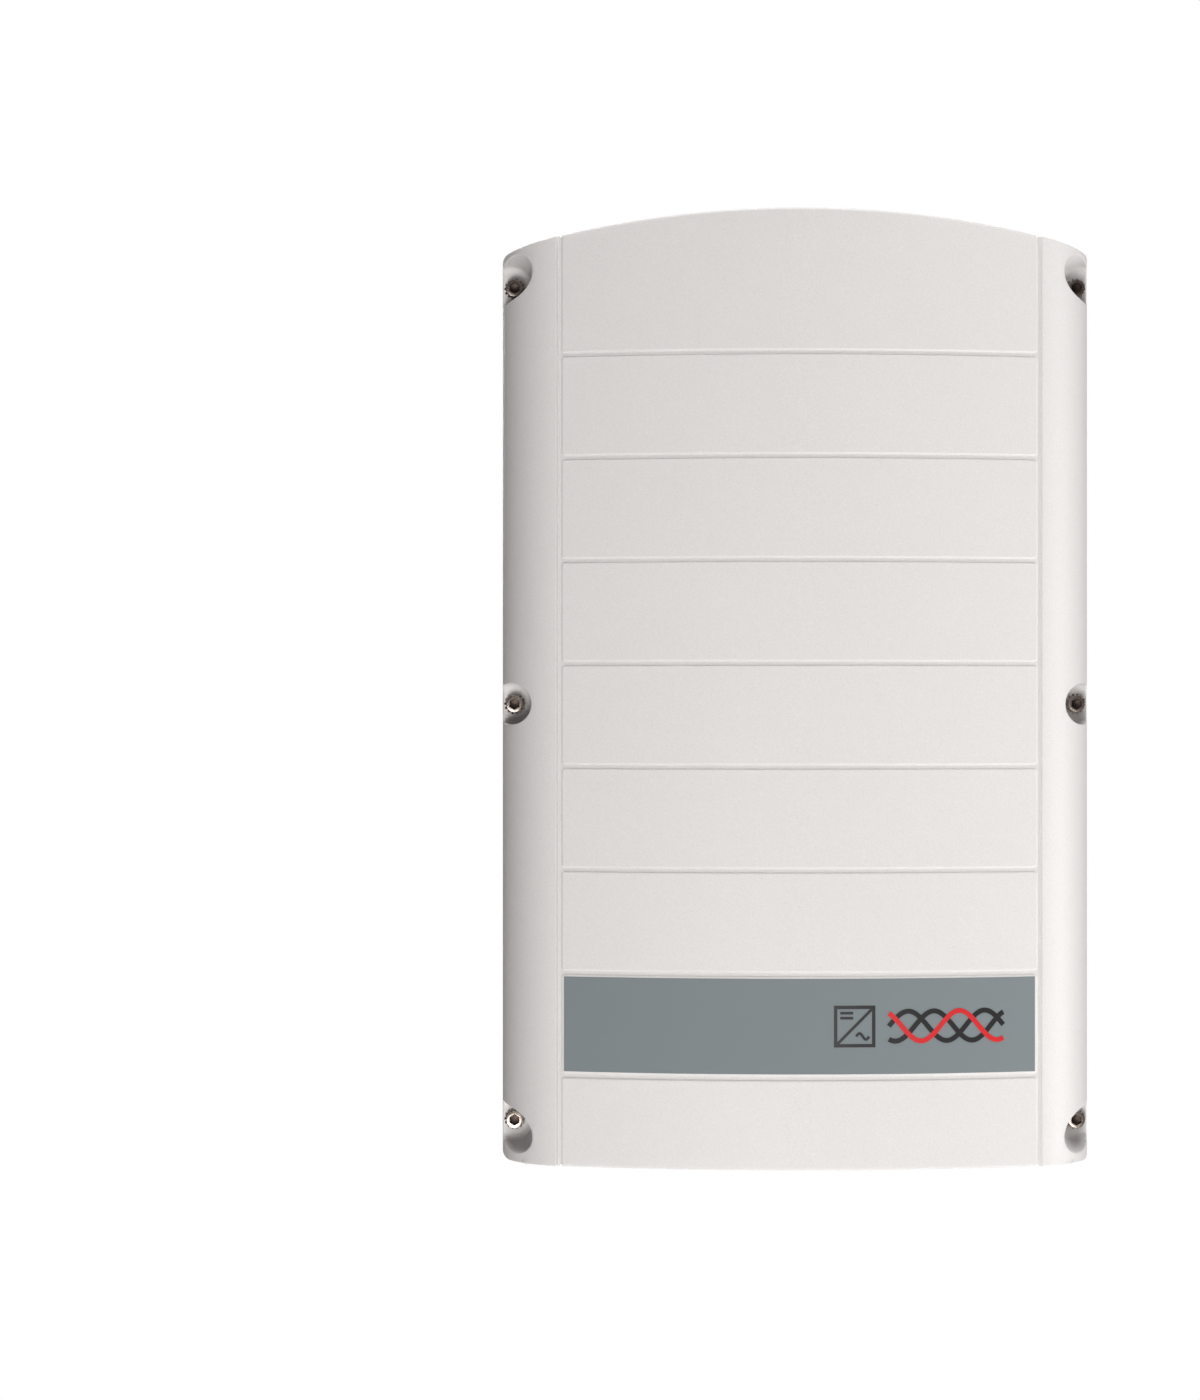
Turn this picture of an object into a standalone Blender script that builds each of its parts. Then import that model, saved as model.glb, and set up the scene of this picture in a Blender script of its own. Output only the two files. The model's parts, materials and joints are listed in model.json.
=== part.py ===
"""String inverter for a wall: a domed die-cast front cover on a cast tub, a finned heat sink, the
electronics inside, the cable entries under the tub and the bracket that it hangs on.

Metres, +Z up, the front faces -Y. The origin is the centre of the bracket's back face, on the wall.
"""
import math

import bmesh
import bpy
from mathutils import Matrix, Vector

# Driving dimensions.
WIDTH = 0.315
HEIGHT = 0.503
DEPTH = 0.191
CREST_Z = 0.160                  # top of the arched upper edge, above the bracket's centre
ARCH_RADIUS = 0.640              # the upper edge seen from the front
CORNER_RADIUS = 0.004
CROWN_RADIUS = 0.410             # the front panel's curve from side to side
SEAM_X = 0.1265                  # where the front panel meets the side flanks
COVER_DEPTH = 0.075              # crown to rim
WALL = 0.003
COVER_FLANGE = 0.006             # thick rim of the cover, which is also the floor of its screw pockets
GAP = 0.0003                     # between pieces that touch

GROOVE_COUNT = 8
GROOVE_PITCH = 0.0542
FIRST_GROOVE_DROP = 0.0755       # below the crest
GROOVE_WIDTH = 0.0030
GROOVE_DEPTH = 0.0010
SEAM_WIDTH = 0.0022
SEAM_DEPTH = 0.0012
LABEL_RECESS = 0.0009
LABEL_THICKNESS = 0.0005

SCREW_X = 0.1509
SCREW_Z = (0.1239, -0.0994, -0.3227)
SHANK_RADIUS = 0.0027
SCREW_HOLE_RADIUS = 0.0030
HEAD_RADIUS = 0.0046
WASHER_RADIUS = 0.0056
POCKET_RADIUS = 0.0110
CORNER_POCKET_RADIUS = 0.0116
POCKET_SHIFT = 0.0015            # a pocket's centre is this far outside its screw
POCKET_LEAN = 0.15               # the corner pockets lean up or down towards their corner
POCKET_WALL = 0.0025

BOTTOM_Z = CREST_Z - HEIGHT
CROWN_Y = -DEPTH
CROWN_CENTRE_Y = CROWN_Y + CROWN_RADIUS
SEAM_Y = CROWN_CENTRE_Y - math.sqrt(CROWN_RADIUS ** 2 - SEAM_X ** 2)
RIM_Y = CROWN_Y + COVER_DEPTH
SEAT_Y = RIM_Y - COVER_FLANGE
FLANGE_FRONT_Y = RIM_Y + 0.002
FLANGE_BACK_Y = FLANGE_FRONT_Y + 0.005
TUB_BACK_Y = -0.064
TUB_FLOOR_Y = -0.068
TUB_FLANGE_INSET = 0.0012
TUB_BODY_INSET = 0.0115
CAVITY_INSET = 0.0165
CAVITY_BOTTOM_Z = -0.300
ENTRY_Z = -0.305                 # underside of the raised floor that carries the cable entries
ENTRY_Y = -0.0865

SINK_HALF_WIDTH = 0.140
SINK_Z = (-0.285, 0.125)
SINK_FRONT_Y = TUB_BACK_Y + GAP
SINK_BASE = 0.008
FIN_TIP_Y = -0.016
FIN_COUNT = 25
FIN_PITCH = 0.01125
FIN_THICKNESS = 0.0024
PAD = ((-0.098, 0.022), (0.098, 0.108))

BOARD_Y = -0.0840                # back of the power board
BOARD_THICKNESS = 0.0016
MOUNT_Y = BOARD_Y - BOARD_THICKNESS - GAP
BOARD_X = 0.130
BOARD_Z = (-0.255, 0.115)
RIB_X = 0.1255  # the two cast ribs that the power board sits on
RIB_Z = (-0.250, 0.110)

DC_SOCKET_X = (-0.1260, -0.1065, -0.0870, -0.0675)
PORT_X = -0.0490
SWITCH_X = -0.0220
DATA_GLAND_X = 0.0160
AC_GLAND_X = 0.0560
VENT_X = 0.0900
GROUND_X = 0.1160

FAN_CENTRE = (0.098, -0.1180, 0.010)
FAN_SIDE = 0.050
FAN_HALF_DEPTH = 0.0075
FAN_BORE = 0.0232
BLADE_COUNT = 7


def clear_scene():
    for obj in list(bpy.data.objects):
        bpy.data.objects.remove(obj, do_unlink=True)


def new_collection(name):
    made = bpy.data.collections.new(name)
    bpy.context.scene.collection.children.link(made)
    return made


def material(name, colour, roughness, metallic=0.0):
    made = bpy.data.materials.new(name)
    made.use_nodes = True
    shader = made.node_tree.nodes["Principled BSDF"]
    shader.inputs["Base Color"].default_value = (*colour, 1.0)
    shader.inputs["Roughness"].default_value = roughness
    shader.inputs["Metallic"].default_value = metallic
    made.diffuse_color = (*colour, 1.0)
    return made


clear_scene()
PARTS = new_collection("string_inverter")
CUTTERS = new_collection("string_inverter_cutters")

POWDER = material("powder_coat", (0.78, 0.77, 0.74), 0.55)
CAST = material("cast_housing", (0.62, 0.62, 0.61), 0.55, 0.2)
ALUMINIUM = material("extruded_aluminium", (0.70, 0.71, 0.72), 0.38, 1.0)
STEEL = material("stainless_steel", (0.66, 0.65, 0.62), 0.28, 1.0)
GALVANISED = material("galvanised_sheet", (0.60, 0.62, 0.63), 0.42, 1.0)
LABEL = material("label_film", (0.20, 0.23, 0.24), 0.45)
RUBBER = material("black_rubber", (0.03, 0.03, 0.03), 0.75)
BLACK_PLASTIC = material("black_plastic", (0.03, 0.03, 0.035), 0.45)
GREY_PLASTIC = material("grey_plastic", (0.35, 0.36, 0.37), 0.5)
GREEN_PLASTIC = material("green_plastic", (0.05, 0.32, 0.13), 0.45)
BOARD = material("circuit_board", (0.02, 0.16, 0.07), 0.4)
COPPER = material("enamelled_copper", (0.60, 0.25, 0.08), 0.35, 0.9)
SLEEVE = material("capacitor_sleeve", (0.02, 0.03, 0.06), 0.35)
RED_CABLE = material("red_cable", (0.45, 0.02, 0.02), 0.5)
BLACK_CABLE = material("black_cable", (0.02, 0.02, 0.02), 0.5)


def smooth(mesh):
    mesh.shade_smooth()
    mesh.set_sharp_from_angle(angle=math.radians(32))


def place(name, mesh, finish, matrix=Matrix()):
    """A node when it has a finish, or else a hidden cutter."""
    obj = bpy.data.objects.new(name, mesh)
    (PARTS if finish else CUTTERS).objects.link(obj)
    obj.matrix_world = matrix
    if finish:
        obj.data.materials.append(finish)
    else:
        obj.hide_render = True
        obj.display_type = "WIRE"
    return obj


def mesh_from(bm, name):
    mesh = bpy.data.meshes.new(name)
    bm.to_mesh(mesh)
    bm.free()
    smooth(mesh)
    return mesh


def box(name, low, high, finish=None):
    bm = bmesh.new()
    bmesh.ops.create_cube(bm, size=1.0)
    low, high = Vector(low), Vector(high)
    bmesh.ops.scale(bm, vec=high - low, verts=bm.verts)
    return place(name, mesh_from(bm, name), finish, Matrix.Translation((low + high) / 2))


def axis_matrix(axis, location):
    """Turns +Z to the axis, and moves to the location."""
    turn = Vector((0, 0, 1)).rotation_difference(Vector(axis)).to_matrix().to_4x4()
    return Matrix.Translation(location) @ turn


def cylinder(name, radius, start, axis, length, finish=None, segments=16, lean=(0, 0, 0)):
    """A cylinder from start along axis. A lean moves its far end sideways."""
    bm = bmesh.new()
    bmesh.ops.create_cone(bm, cap_ends=True, segments=segments, radius1=radius, radius2=radius, depth=length)
    bmesh.ops.translate(bm, vec=(0, 0, length / 2), verts=bm.verts)
    bmesh.ops.transform(bm, matrix=axis_matrix(axis, (0, 0, 0)), verts=bm.verts)
    ends = [v for v in bm.verts if v.co.dot(Vector(axis)) > length / 2]
    bmesh.ops.translate(bm, vec=lean, verts=ends)
    return place(name, mesh_from(bm, name), finish, Matrix.Translation(start))


def turned(name, profile, location, axis, finish, segments=16):
    """A profile of (radius, height), running down its outer side, turned about the axis.
    A profile that ends on the axis is open, and any other is a closed ring."""
    bm = bmesh.new()
    points = [bm.verts.new((radius, 0, height)) for radius, height in profile]
    for first, second in zip(points, points[1:]):
        bm.edges.new((first, second))
    if profile[0][0] > 0:
        bm.edges.new((points[-1], points[0]))
    mesh = bpy.data.meshes.new(name)
    bm.to_mesh(mesh)
    bm.free()
    obj = place(name, mesh, finish, axis_matrix(axis, location))
    screw = obj.modifiers.new("turn", "SCREW")
    screw.steps = segments
    screw.render_steps = segments
    screw.use_merge_vertices = True
    screw.merge_threshold = 0.00001
    screw.use_smooth_shade = False
    return obj


def extruded(name, outline, axis, start, end, finish=None):
    """A closed outline extruded along an axis. It is (y, z) along X, (x, z) along Y and (x, y) along Z."""
    curve = bpy.data.curves.new(name, "CURVE")
    curve.dimensions = "2D"
    curve.fill_mode = "BOTH"
    curve.extrude = abs(end - start) / 2
    spline = curve.splines.new("POLY")
    spline.points.add(len(outline) - 1)
    for point, (first, second) in zip(spline.points, outline):
        point.co = (first, second, 0, 1)
    spline.use_cyclic_u = True
    obj = bpy.data.objects.new(name, curve)
    CUTTERS.objects.link(obj)
    columns = {"X": ((0, 1, 0), (0, 0, 1), (1, 0, 0)),
               "Y": ((1, 0, 0), (0, 0, 1), (0, -1, 0)),
               "Z": ((1, 0, 0), (0, 1, 0), (0, 0, 1))}[axis]
    turn = Matrix(columns).transposed().to_4x4()
    shift = {"X": (1, 0, 0), "Y": (0, 1, 0), "Z": (0, 0, 1)}[axis]
    obj.matrix_world = Matrix.Translation(Vector(shift) * (start + end) / 2) @ turn
    bpy.context.view_layer.update()
    made = bpy.data.meshes.new_from_object(obj.evaluated_get(bpy.context.evaluated_depsgraph_get()))
    bm = bmesh.new()
    bm.from_mesh(made)
    bmesh.ops.remove_doubles(bm, verts=bm.verts, dist=0.000001)
    bmesh.ops.recalc_face_normals(bm, faces=bm.faces)
    bm.to_mesh(made)
    bm.free()
    smooth(made)
    matrix = obj.matrix_world.copy()
    bpy.data.objects.remove(obj)
    made.name = name
    return place(name, made, finish, matrix)


def boolean(obj, other, operation="DIFFERENCE"):
    modifier = obj.modifiers.new(operation.lower(), "BOOLEAN")
    modifier.operation = operation
    modifier.object = other
    modifier.solver = "EXACT"


def bevel(obj, width, segments=1):
    modifier = obj.modifiers.new("bevel", "BEVEL")
    modifier.width = width
    modifier.segments = segments
    modifier.limit_method = "ANGLE"
    modifier.angle_limit = math.radians(50)


def joined_cutter(name, pieces):
    """One hidden object that holds several separate cutters."""
    bm = bmesh.new()
    for piece in pieces:
        start = len(bm.verts)
        bm.from_mesh(piece.data)
        bm.verts.ensure_lookup_table()
        bmesh.ops.transform(bm, matrix=piece.matrix_world, verts=bm.verts[start:])
        bpy.data.objects.remove(piece)
    return place(name, mesh_from(bm, name), None)


def section(inset=0.0, back=RIM_Y, steps=9):
    """The cover's level section, from its left edge over the crown to its right edge, as (x, y)."""
    radius = CROWN_RADIUS - inset
    lean = math.asin(SEAM_X / CROWN_RADIUS)
    right = []
    for step in range(steps + 1):
        angle = lean * step / steps
        right.append((radius * math.sin(angle), CROWN_CENTRE_Y - radius * math.cos(angle)))
    start = Vector(right[-1])
    end = Vector((WIDTH / 2 - inset, RIM_Y))
    leave = start + Vector((math.cos(lean), math.sin(lean))) * 0.017
    arrive = end + Vector((0, -0.031))
    for step in range(1, steps + 1):
        t = step / steps
        point = (start * (1 - t) ** 3 + leave * 3 * t * (1 - t) ** 2
                 + arrive * 3 * t * t * (1 - t) + end * t ** 3)
        if point.y < back - 0.0005:
            right.append(tuple(point))
    right.append((WIDTH / 2 - inset, back))
    left = [(-x, y) for x, y in reversed(right[1:])]
    return left + right


def arched(inset, bottom, corner=CORNER_RADIUS, steps=16):
    """The front outline: straight sides and base under an arched upper edge, as (x, z)."""
    half = WIDTH / 2 - inset
    radius = ARCH_RADIUS - inset
    centre_z = CREST_Z - ARCH_RADIUS
    right = []
    for step in range(4):
        angle = math.radians(-90 + 30 * step)
        right.append((half - corner + corner * math.cos(angle), bottom + corner + corner * math.sin(angle)))
    corner_z = centre_z + math.sqrt((radius - corner) ** 2 - (half - corner) ** 2)
    lean = math.atan2(half - corner, corner_z - centre_z)
    for step in range(4):
        angle = (math.pi / 2 - lean) * step / 3
        right.append((half - corner + corner * math.cos(angle), corner_z + corner * math.sin(angle)))
    for step in range(1, steps // 2 + 1):
        angle = lean * (1 - 2 * step / steps)
        right.append((radius * math.sin(angle), centre_z + radius * math.cos(angle)))
    left = [(-x, z) for x, z in reversed(right[:-1])]
    return right + left


def crown_strip(name, low, high, depth, half_width, finish=None, proud=0.003):
    """A strip across the front panel that follows its curve, from depth below it to proud of it."""
    outline = []
    steps = 12
    for radius, order in ((CROWN_RADIUS + proud, 1), (CROWN_RADIUS - depth, -1)):
        lean = math.asin(half_width / radius)
        for step in range(steps + 1):
            angle = order * lean * (2 * step / steps - 1)
            outline.append((radius * math.sin(angle), CROWN_CENTRE_Y - radius * math.cos(angle)))
    return extruded(name, outline, "Z", low, high, finish)


def groove_z(index):
    return CREST_Z - FIRST_GROOVE_DROP - GROOVE_PITCH * index


def screw_places():
    """Name, x, z, and the side and row as signs, of each cover screw."""
    for row, z, up in zip(("top", "middle", "bottom"), SCREW_Z, (1, 0, -1)):
        for side, out in (("left", -1), ("right", 1)):
            yield f"{row}_{side}", out * SCREW_X, z, out, up


def pocket_cutters(name, grow, start_y):
    """The six screw pockets: round bores, leaning at the corners."""
    pieces = []
    length = start_y - CROWN_Y + 0.001
    for place_name, x, z, out, up in screw_places():
        radius = (CORNER_POCKET_RADIUS if up else POCKET_RADIUS) + grow
        pieces.append(cylinder(f"{name}_{place_name}", radius, (x + out * POCKET_SHIFT, start_y, z), (0, -1, 0),
                               length, lean=(0, 0, up * POCKET_LEAN * length)))
    return joined_cutter(name, pieces)


def make_cover():
    cover = extruded("front_cover", section(), "Z", BOTTOM_Z - 0.01, CREST_Z + 0.01, POWDER)
    boolean(cover, extruded("cut_cover_outline", arched(0, BOTTOM_Z), "Y", -0.25, 0.0), "INTERSECT")
    inner = extruded("cut_cover_inner", section(WALL, SEAT_Y), "Z", BOTTOM_Z - 0.01, CREST_Z + 0.01)
    boolean(inner, extruded("cut_cover_inner_outline", arched(WALL, BOTTOM_Z + WALL), "Y", -0.25, 0.0),
            "INTERSECT")
    solid = extruded("cut_cover_solid", section(0.0002), "Z", BOTTOM_Z - 0.01, CREST_Z + 0.01)
    boolean(solid, extruded("cut_cover_solid_outline", arched(0.0002, BOTTOM_Z + 0.0002), "Y", -0.25, 0.0),
            "INTERSECT")
    pocket_walls = pocket_cutters("cut_pocket_walls", POCKET_WALL, SEAT_Y + 0.003)
    boolean(pocket_walls, solid, "INTERSECT")
    boolean(cover, inner)
    boolean(cover, pocket_walls, "UNION")
    boolean(cover, pocket_cutters("cut_pockets", 0.0, SEAT_Y))
    mouth = extruded("cut_cover_mouth", arched(CAVITY_INSET, CAVITY_BOTTOM_Z), "Y", SEAT_Y - 0.001, -0.1)
    boolean(cover, mouth)
    holes = [cylinder(f"cut_cover_hole_{name}", SCREW_HOLE_RADIUS, (x, RIM_Y + 0.002, z), (0, -1, 0), 0.012,
                      segments=12) for name, x, z, *_ in screw_places()]
    boolean(cover, joined_cutter("cut_cover_holes", holes))
    grooves = [crown_strip(f"cut_groove_{i}", groove_z(i) - GROOVE_WIDTH / 2, groove_z(i) + GROOVE_WIDTH / 2,
                           GROOVE_DEPTH, SEAM_X - 0.0005) for i in range(GROOVE_COUNT)]
    boolean(cover, joined_cutter("cut_grooves", grooves))
    recess = crown_strip("cut_label_recess", groove_z(7) + 0.0020, groove_z(6) - 0.0020, LABEL_RECESS,
                         SEAM_X - 0.0006)
    boolean(cover, recess)
    seams = [box(f"cut_seam_{side}", (side * SEAM_X - SEAM_WIDTH / 2, -0.25, BOTTOM_Z - 0.01),
                 (side * SEAM_X + SEAM_WIDTH / 2, SEAM_Y + SEAM_DEPTH, CREST_Z + 0.01))
             for side in (-1, 1)]
    boolean(cover, joined_cutter("cut_seams", seams))
    crown_strip("label_strip", groove_z(7) + 0.0024, groove_z(6) - 0.0024, LABEL_RECESS - GAP,
                SEAM_X - 0.0025, LABEL, proud=LABEL_THICKNESS + GAP - LABEL_RECESS)
    ring = extruded("cover_gasket", arched(CAVITY_INSET - 0.0050, CAVITY_BOTTOM_Z - 0.0050), "Y",
                    RIM_Y + GAP, FLANGE_FRONT_Y - GAP, RUBBER)
    hole = extruded("cut_gasket", arched(CAVITY_INSET - 0.0010, CAVITY_BOTTOM_Z - 0.0010), "Y",
                    RIM_Y - 0.01, FLANGE_FRONT_Y + 0.01)
    boolean(ring, hole)


def make_cover_screws():
    head_back = SEAT_Y - 0.0018 - 2 * GAP
    for name, x, z, *_ in screw_places():
        turned(f"washer_{name}", [(SHANK_RADIUS + GAP, 0.0018), (WASHER_RADIUS - 0.0004, 0.0018),
                                  (WASHER_RADIUS, 0.0014), (WASHER_RADIUS, 0), (SHANK_RADIUS + GAP, 0)],
               (x, SEAT_Y - GAP, z), (0, -1, 0), STEEL)
        screw = turned(f"cover_screw_{name}",
                       [(0, 0.0060), (HEAD_RADIUS - 0.0006, 0.0060), (HEAD_RADIUS, 0.0054), (HEAD_RADIUS, 0),
                        (SHANK_RADIUS, 0), (SHANK_RADIUS, -0.0205), (0.0018, -0.0220), (0, -0.0220)],
                       (x, head_back, z), (0, -1, 0), STEEL, segments=12)
        socket = cylinder(f"cut_socket_{name}", 0.0029, (x, head_back - 0.0028, z), (0, -1, 0), 0.01, segments=6)
        boolean(screw, socket)


def make_tub():
    tub = extruded("enclosure_tub", arched(TUB_FLANGE_INSET, BOTTOM_Z + TUB_FLANGE_INSET), "Y",
                   FLANGE_FRONT_Y, FLANGE_BACK_Y, CAST)
    body = extruded("cut_tub_body", arched(TUB_BODY_INSET, BOTTOM_Z + 0.0020), "Y",
                    FLANGE_BACK_Y - 0.001, TUB_BACK_Y)
    boolean(tub, body, "UNION")
    bosses = [cylinder(f"cut_boss_{name}", 0.0062, (x * 0.9965, FLANGE_FRONT_Y + 0.019, z), (0, -1, 0), 0.0165,
                       segments=12) for name, x, z, *_ in screw_places()]
    boolean(tub, joined_cutter("cut_bosses", bosses), "UNION")
    cavity = extruded("cut_cavity", arched(CAVITY_INSET, CAVITY_BOTTOM_Z), "Y", TUB_FLOOR_Y, -0.13)
    boolean(tub, cavity)
    bay_x = WIDTH / 2 - CAVITY_INSET
    boolean(tub, box("cut_entry_bay", (-bay_x, FLANGE_BACK_Y, BOTTOM_Z - 0.01), (bay_x, -0.05, ENTRY_Z)))
    boolean(tub, box("cut_sink_window", (PAD[0][0] - 0.002, -0.075, PAD[0][1] - 0.002),
                     (PAD[1][0] + 0.002, -0.06, PAD[1][1] + 0.002)))
    ribs = [box(f"cut_rib_{side}", (side * RIB_X - 0.0025, BOARD_Y + GAP, RIB_Z[0]),
                (side * RIB_X + 0.0025, TUB_FLOOR_Y + 0.002, RIB_Z[1])) for side in (-1, 1)]
    boolean(tub, joined_cutter("cut_ribs", ribs), "UNION")
    threads = [cylinder(f"cut_thread_{name}", SCREW_HOLE_RADIUS, (x, RIM_Y + 0.0155, z), (0, -1, 0), 0.02,
                        segments=12) for name, x, z, *_ in screw_places()]
    boolean(tub, joined_cutter("cut_threads", threads))
    entries = [(x, 0.0062) for x in DC_SOCKET_X]
    entries += [(PORT_X, 0.0062), (SWITCH_X, 0.0062), (DATA_GLAND_X, 0.0083), (AC_GLAND_X, 0.0128),
                (VENT_X, 0.0062), (GROUND_X, 0.0036)]
    holes = [cylinder(f"cut_entry_{i}", radius, (x, ENTRY_Y, -0.320), (0, 0, 1), 0.04)
             for i, (x, radius) in enumerate(entries)]
    boolean(tub, joined_cutter("cut_entries", holes))


def make_heat_sink():
    base_back = SINK_FRONT_Y + SINK_BASE
    outline = [(-SINK_HALF_WIDTH, SINK_FRONT_Y), (SINK_HALF_WIDTH, SINK_FRONT_Y), (SINK_HALF_WIDTH, base_back)]
    for index in reversed(range(FIN_COUNT)):
        x = (index - (FIN_COUNT - 1) / 2) * FIN_PITCH
        outline += [(x + FIN_THICKNESS / 2, base_back), (x + FIN_THICKNESS / 2, FIN_TIP_Y),
                    (x - FIN_THICKNESS / 2, FIN_TIP_Y), (x - FIN_THICKNESS / 2, base_back)]
    outline.append((-SINK_HALF_WIDTH, base_back))
    sink = extruded("heat_sink", outline, "Z", *SINK_Z, ALUMINIUM)
    pad = box("cut_sink_pad", (PAD[0][0], TUB_FLOOR_Y - GAP, PAD[0][1]),
              (PAD[1][0], SINK_FRONT_Y + 0.002, PAD[1][1]))
    boolean(sink, pad, "UNION")


def make_hanging():
    plate = 0.003
    half = 0.115
    wall = [(0, -0.035), (-0.0155, -0.035), (-0.0155, -0.032), (-plate, -0.032), (-plate, 0.032),
            (-0.0125, 0.032), (-0.0125, 0.046), (-0.0095, 0.046), (-0.0095, 0.035), (0, 0.035)]
    bracket = extruded("wall_bracket", wall, "X", -half, half, GALVANISED)
    slots = []
    for x in (-0.085, 0.085):
        for z in (-0.016, 0.016):
            outline = []
            for end, start_angle in ((1, -90), (-1, 90)):
                for step in range(5):
                    angle = math.radians(start_angle + 45 * step)
                    outline.append((x + end * 0.0045 + 0.0045 * math.cos(angle), z + 0.0045 * math.sin(angle)))
            slots.append(extruded(f"cut_slot_{x}_{z}", outline, "Y", -0.01, 0.01))
    boolean(bracket, joined_cutter("cut_wall_slots", slots))
    hook = [(FIN_TIP_Y + GAP, 0.004), (FIN_TIP_Y + GAP, 0.0493), (-0.0048, 0.0493), (-0.0048, 0.0353),
            (-0.0078, 0.0353), (-0.0078, 0.0463), (-0.0137, 0.0463), (-0.0137, 0.004)]
    extruded("hanging_rail", hook, "X", -0.105, 0.105, GALVANISED)


def make_boards():
    board = box("power_board", (-BOARD_X, MOUNT_Y + GAP, BOARD_Z[0]), (BOARD_X, BOARD_Y, BOARD_Z[1]), BOARD)
    front = TUB_FLOOR_Y - 2 * GAP
    for name, low_x, high_x in (("inverter_module", -0.094, 0.010), ("boost_module", 0.020, 0.094)):
        module = box(name, (low_x, front - 0.012, 0.030), (high_x, front, 0.100), BLACK_PLASTIC)
        bevel(module, 0.002)
    legs = [cylinder(f"cut_leg_{x}_{z}", 0.003, (x, MOUNT_Y, z), (0, -1, 0), 0.061, segments=10)
            for x in (-0.070, 0.050) for z in (-0.105, 0.035)]
    tray = box("control_tray", (-0.078, -0.1478, -0.113), (0.058, -0.1458, 0.043), GREY_PLASTIC)
    studs = [cylinder(f"cut_stud_{x}_{z}", 0.0025, (x, -0.1465, z), (0, -1, 0), 0.0055, segments=10)
             for x in (-0.064, 0.044) for z in (-0.098, 0.028)]
    boolean(tray, joined_cutter("cut_tray_legs", legs), "UNION")
    boolean(tray, joined_cutter("cut_tray_studs", studs), "UNION")
    box("control_board", (-0.070, -0.1539, -0.104), (0.050, -0.1523, 0.034), BOARD)
    ribbon = [(-0.1542, -0.100), (-0.1552, -0.100), (-0.1552, -0.118), (MOUNT_Y - 0.001, -0.148),
              (MOUNT_Y, -0.148), (MOUNT_Y, -0.156), (MOUNT_Y - 0.002, -0.156),
              (MOUNT_Y - 0.002, -0.1493), (-0.1562, -0.1186), (-0.1562, -0.0985), (-0.1542, -0.0985)]
    extruded("ribbon_cable", ribbon, "X", -0.030, 0.010, GREY_PLASTIC)
    return board


def make_power_parts():
    for index in range(3):
        x = -0.072 + 0.058 * index
        turned(f"link_capacitor_{index + 1}",
               [(0, 0.048), (0.0150, 0.048), (0.0165, 0.0465), (0.0165, 0.0050), (0.0155, 0.0042),
                (0.0155, 0.0030), (0.0165, 0.0022), (0.0165, 0), (0, 0)],
               (x, MOUNT_Y, 0.086), (0, -1, 0), SLEEVE)
    coils = [("boost_inductor_1", -0.100, 0.035, 0.0200), ("boost_inductor_2", -0.100, -0.020, 0.0200),
             ("output_inductor_1", -0.040, 0.010, 0.0190), ("output_inductor_2", 0.018, 0.010, 0.0190),
             ("output_inductor_3", -0.011, -0.045, 0.0190), ("ac_filter_choke", 0.092, -0.110, 0.0220)]
    for name, x, z, radius in coils:
        thickness = 0.0105
        ring = []
        for step in range(8):
            angle = math.pi / 2 - math.radians(45) * (step + 0.5)
            ring.append((radius - 0.002 + thickness * 0.8 * math.cos(angle),
                         thickness + thickness * math.sin(angle)))
        turned(name, ring, (x, MOUNT_Y, z), (0, -1, 0), COPPER)
    relay = box("grid_relay", (0.014, MOUNT_Y - 0.028, -0.190), (0.066, MOUNT_Y, -0.150), BLACK_PLASTIC)
    bevel(relay, 0.001)
    for name, low_x, ways, finish in (("dc_terminal_block", -0.122, 4, GREEN_PLASTIC),
                                      ("ac_terminal_block", 0.036, 5, GREY_PLASTIC)):
        pitch = 0.014
        block = box(name, (low_x, MOUNT_Y - 0.026, -0.240), (low_x + pitch * ways, MOUNT_Y, -0.212), finish)
        holes = [box(f"cut_way_{name}_{way}", (low_x + pitch * way + 0.003, MOUNT_Y - 0.017, -0.25),
                     (low_x + pitch * way + 0.011, MOUNT_Y - 0.007, -0.222)) for way in range(ways)]
        boolean(block, joined_cutter(f"cut_ways_{name}", holes))
    arrester = box("surge_arrester", (-0.050, MOUNT_Y - 0.032, -0.242), (0.020, MOUNT_Y, -0.205), GREEN_PLASTIC)
    bevel(arrester, 0.0015)


def make_leads():
    for index, x in enumerate(DC_SOCKET_X):
        end_x = -0.122 + 0.014 * (index + 0.5)
        curve = bpy.data.curves.new(f"dc_lead_{index + 1}", "CURVE")
        curve.dimensions = "3D"
        curve.bevel_depth = 0.0024
        curve.bevel_resolution = 2
        curve.use_fill_caps = True
        spline = curve.splines.new("POLY")
        count = 16
        spline.points.add(count - 1)
        low = Vector((x, ENTRY_Y, -0.2950))
        high = Vector((end_x, MOUNT_Y - 0.012, -0.2385))
        for step, point in enumerate(spline.points):
            t = step / (count - 1)
            ease = t * t * (3 - 2 * t)
            bow = 0.010 * math.sin(math.pi * t) ** 2
            place_at = (low.x + (high.x - low.x) * ease, low.y + (high.y - low.y) * ease - bow,
                        low.z + (high.z - low.z) * t)
            point.co = (*place_at, 1)
        obj = bpy.data.objects.new(f"dc_lead_{index + 1}", curve)
        PARTS.objects.link(obj)
        curve.materials.append(RED_CABLE if index % 2 == 0 else BLACK_CABLE)


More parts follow.
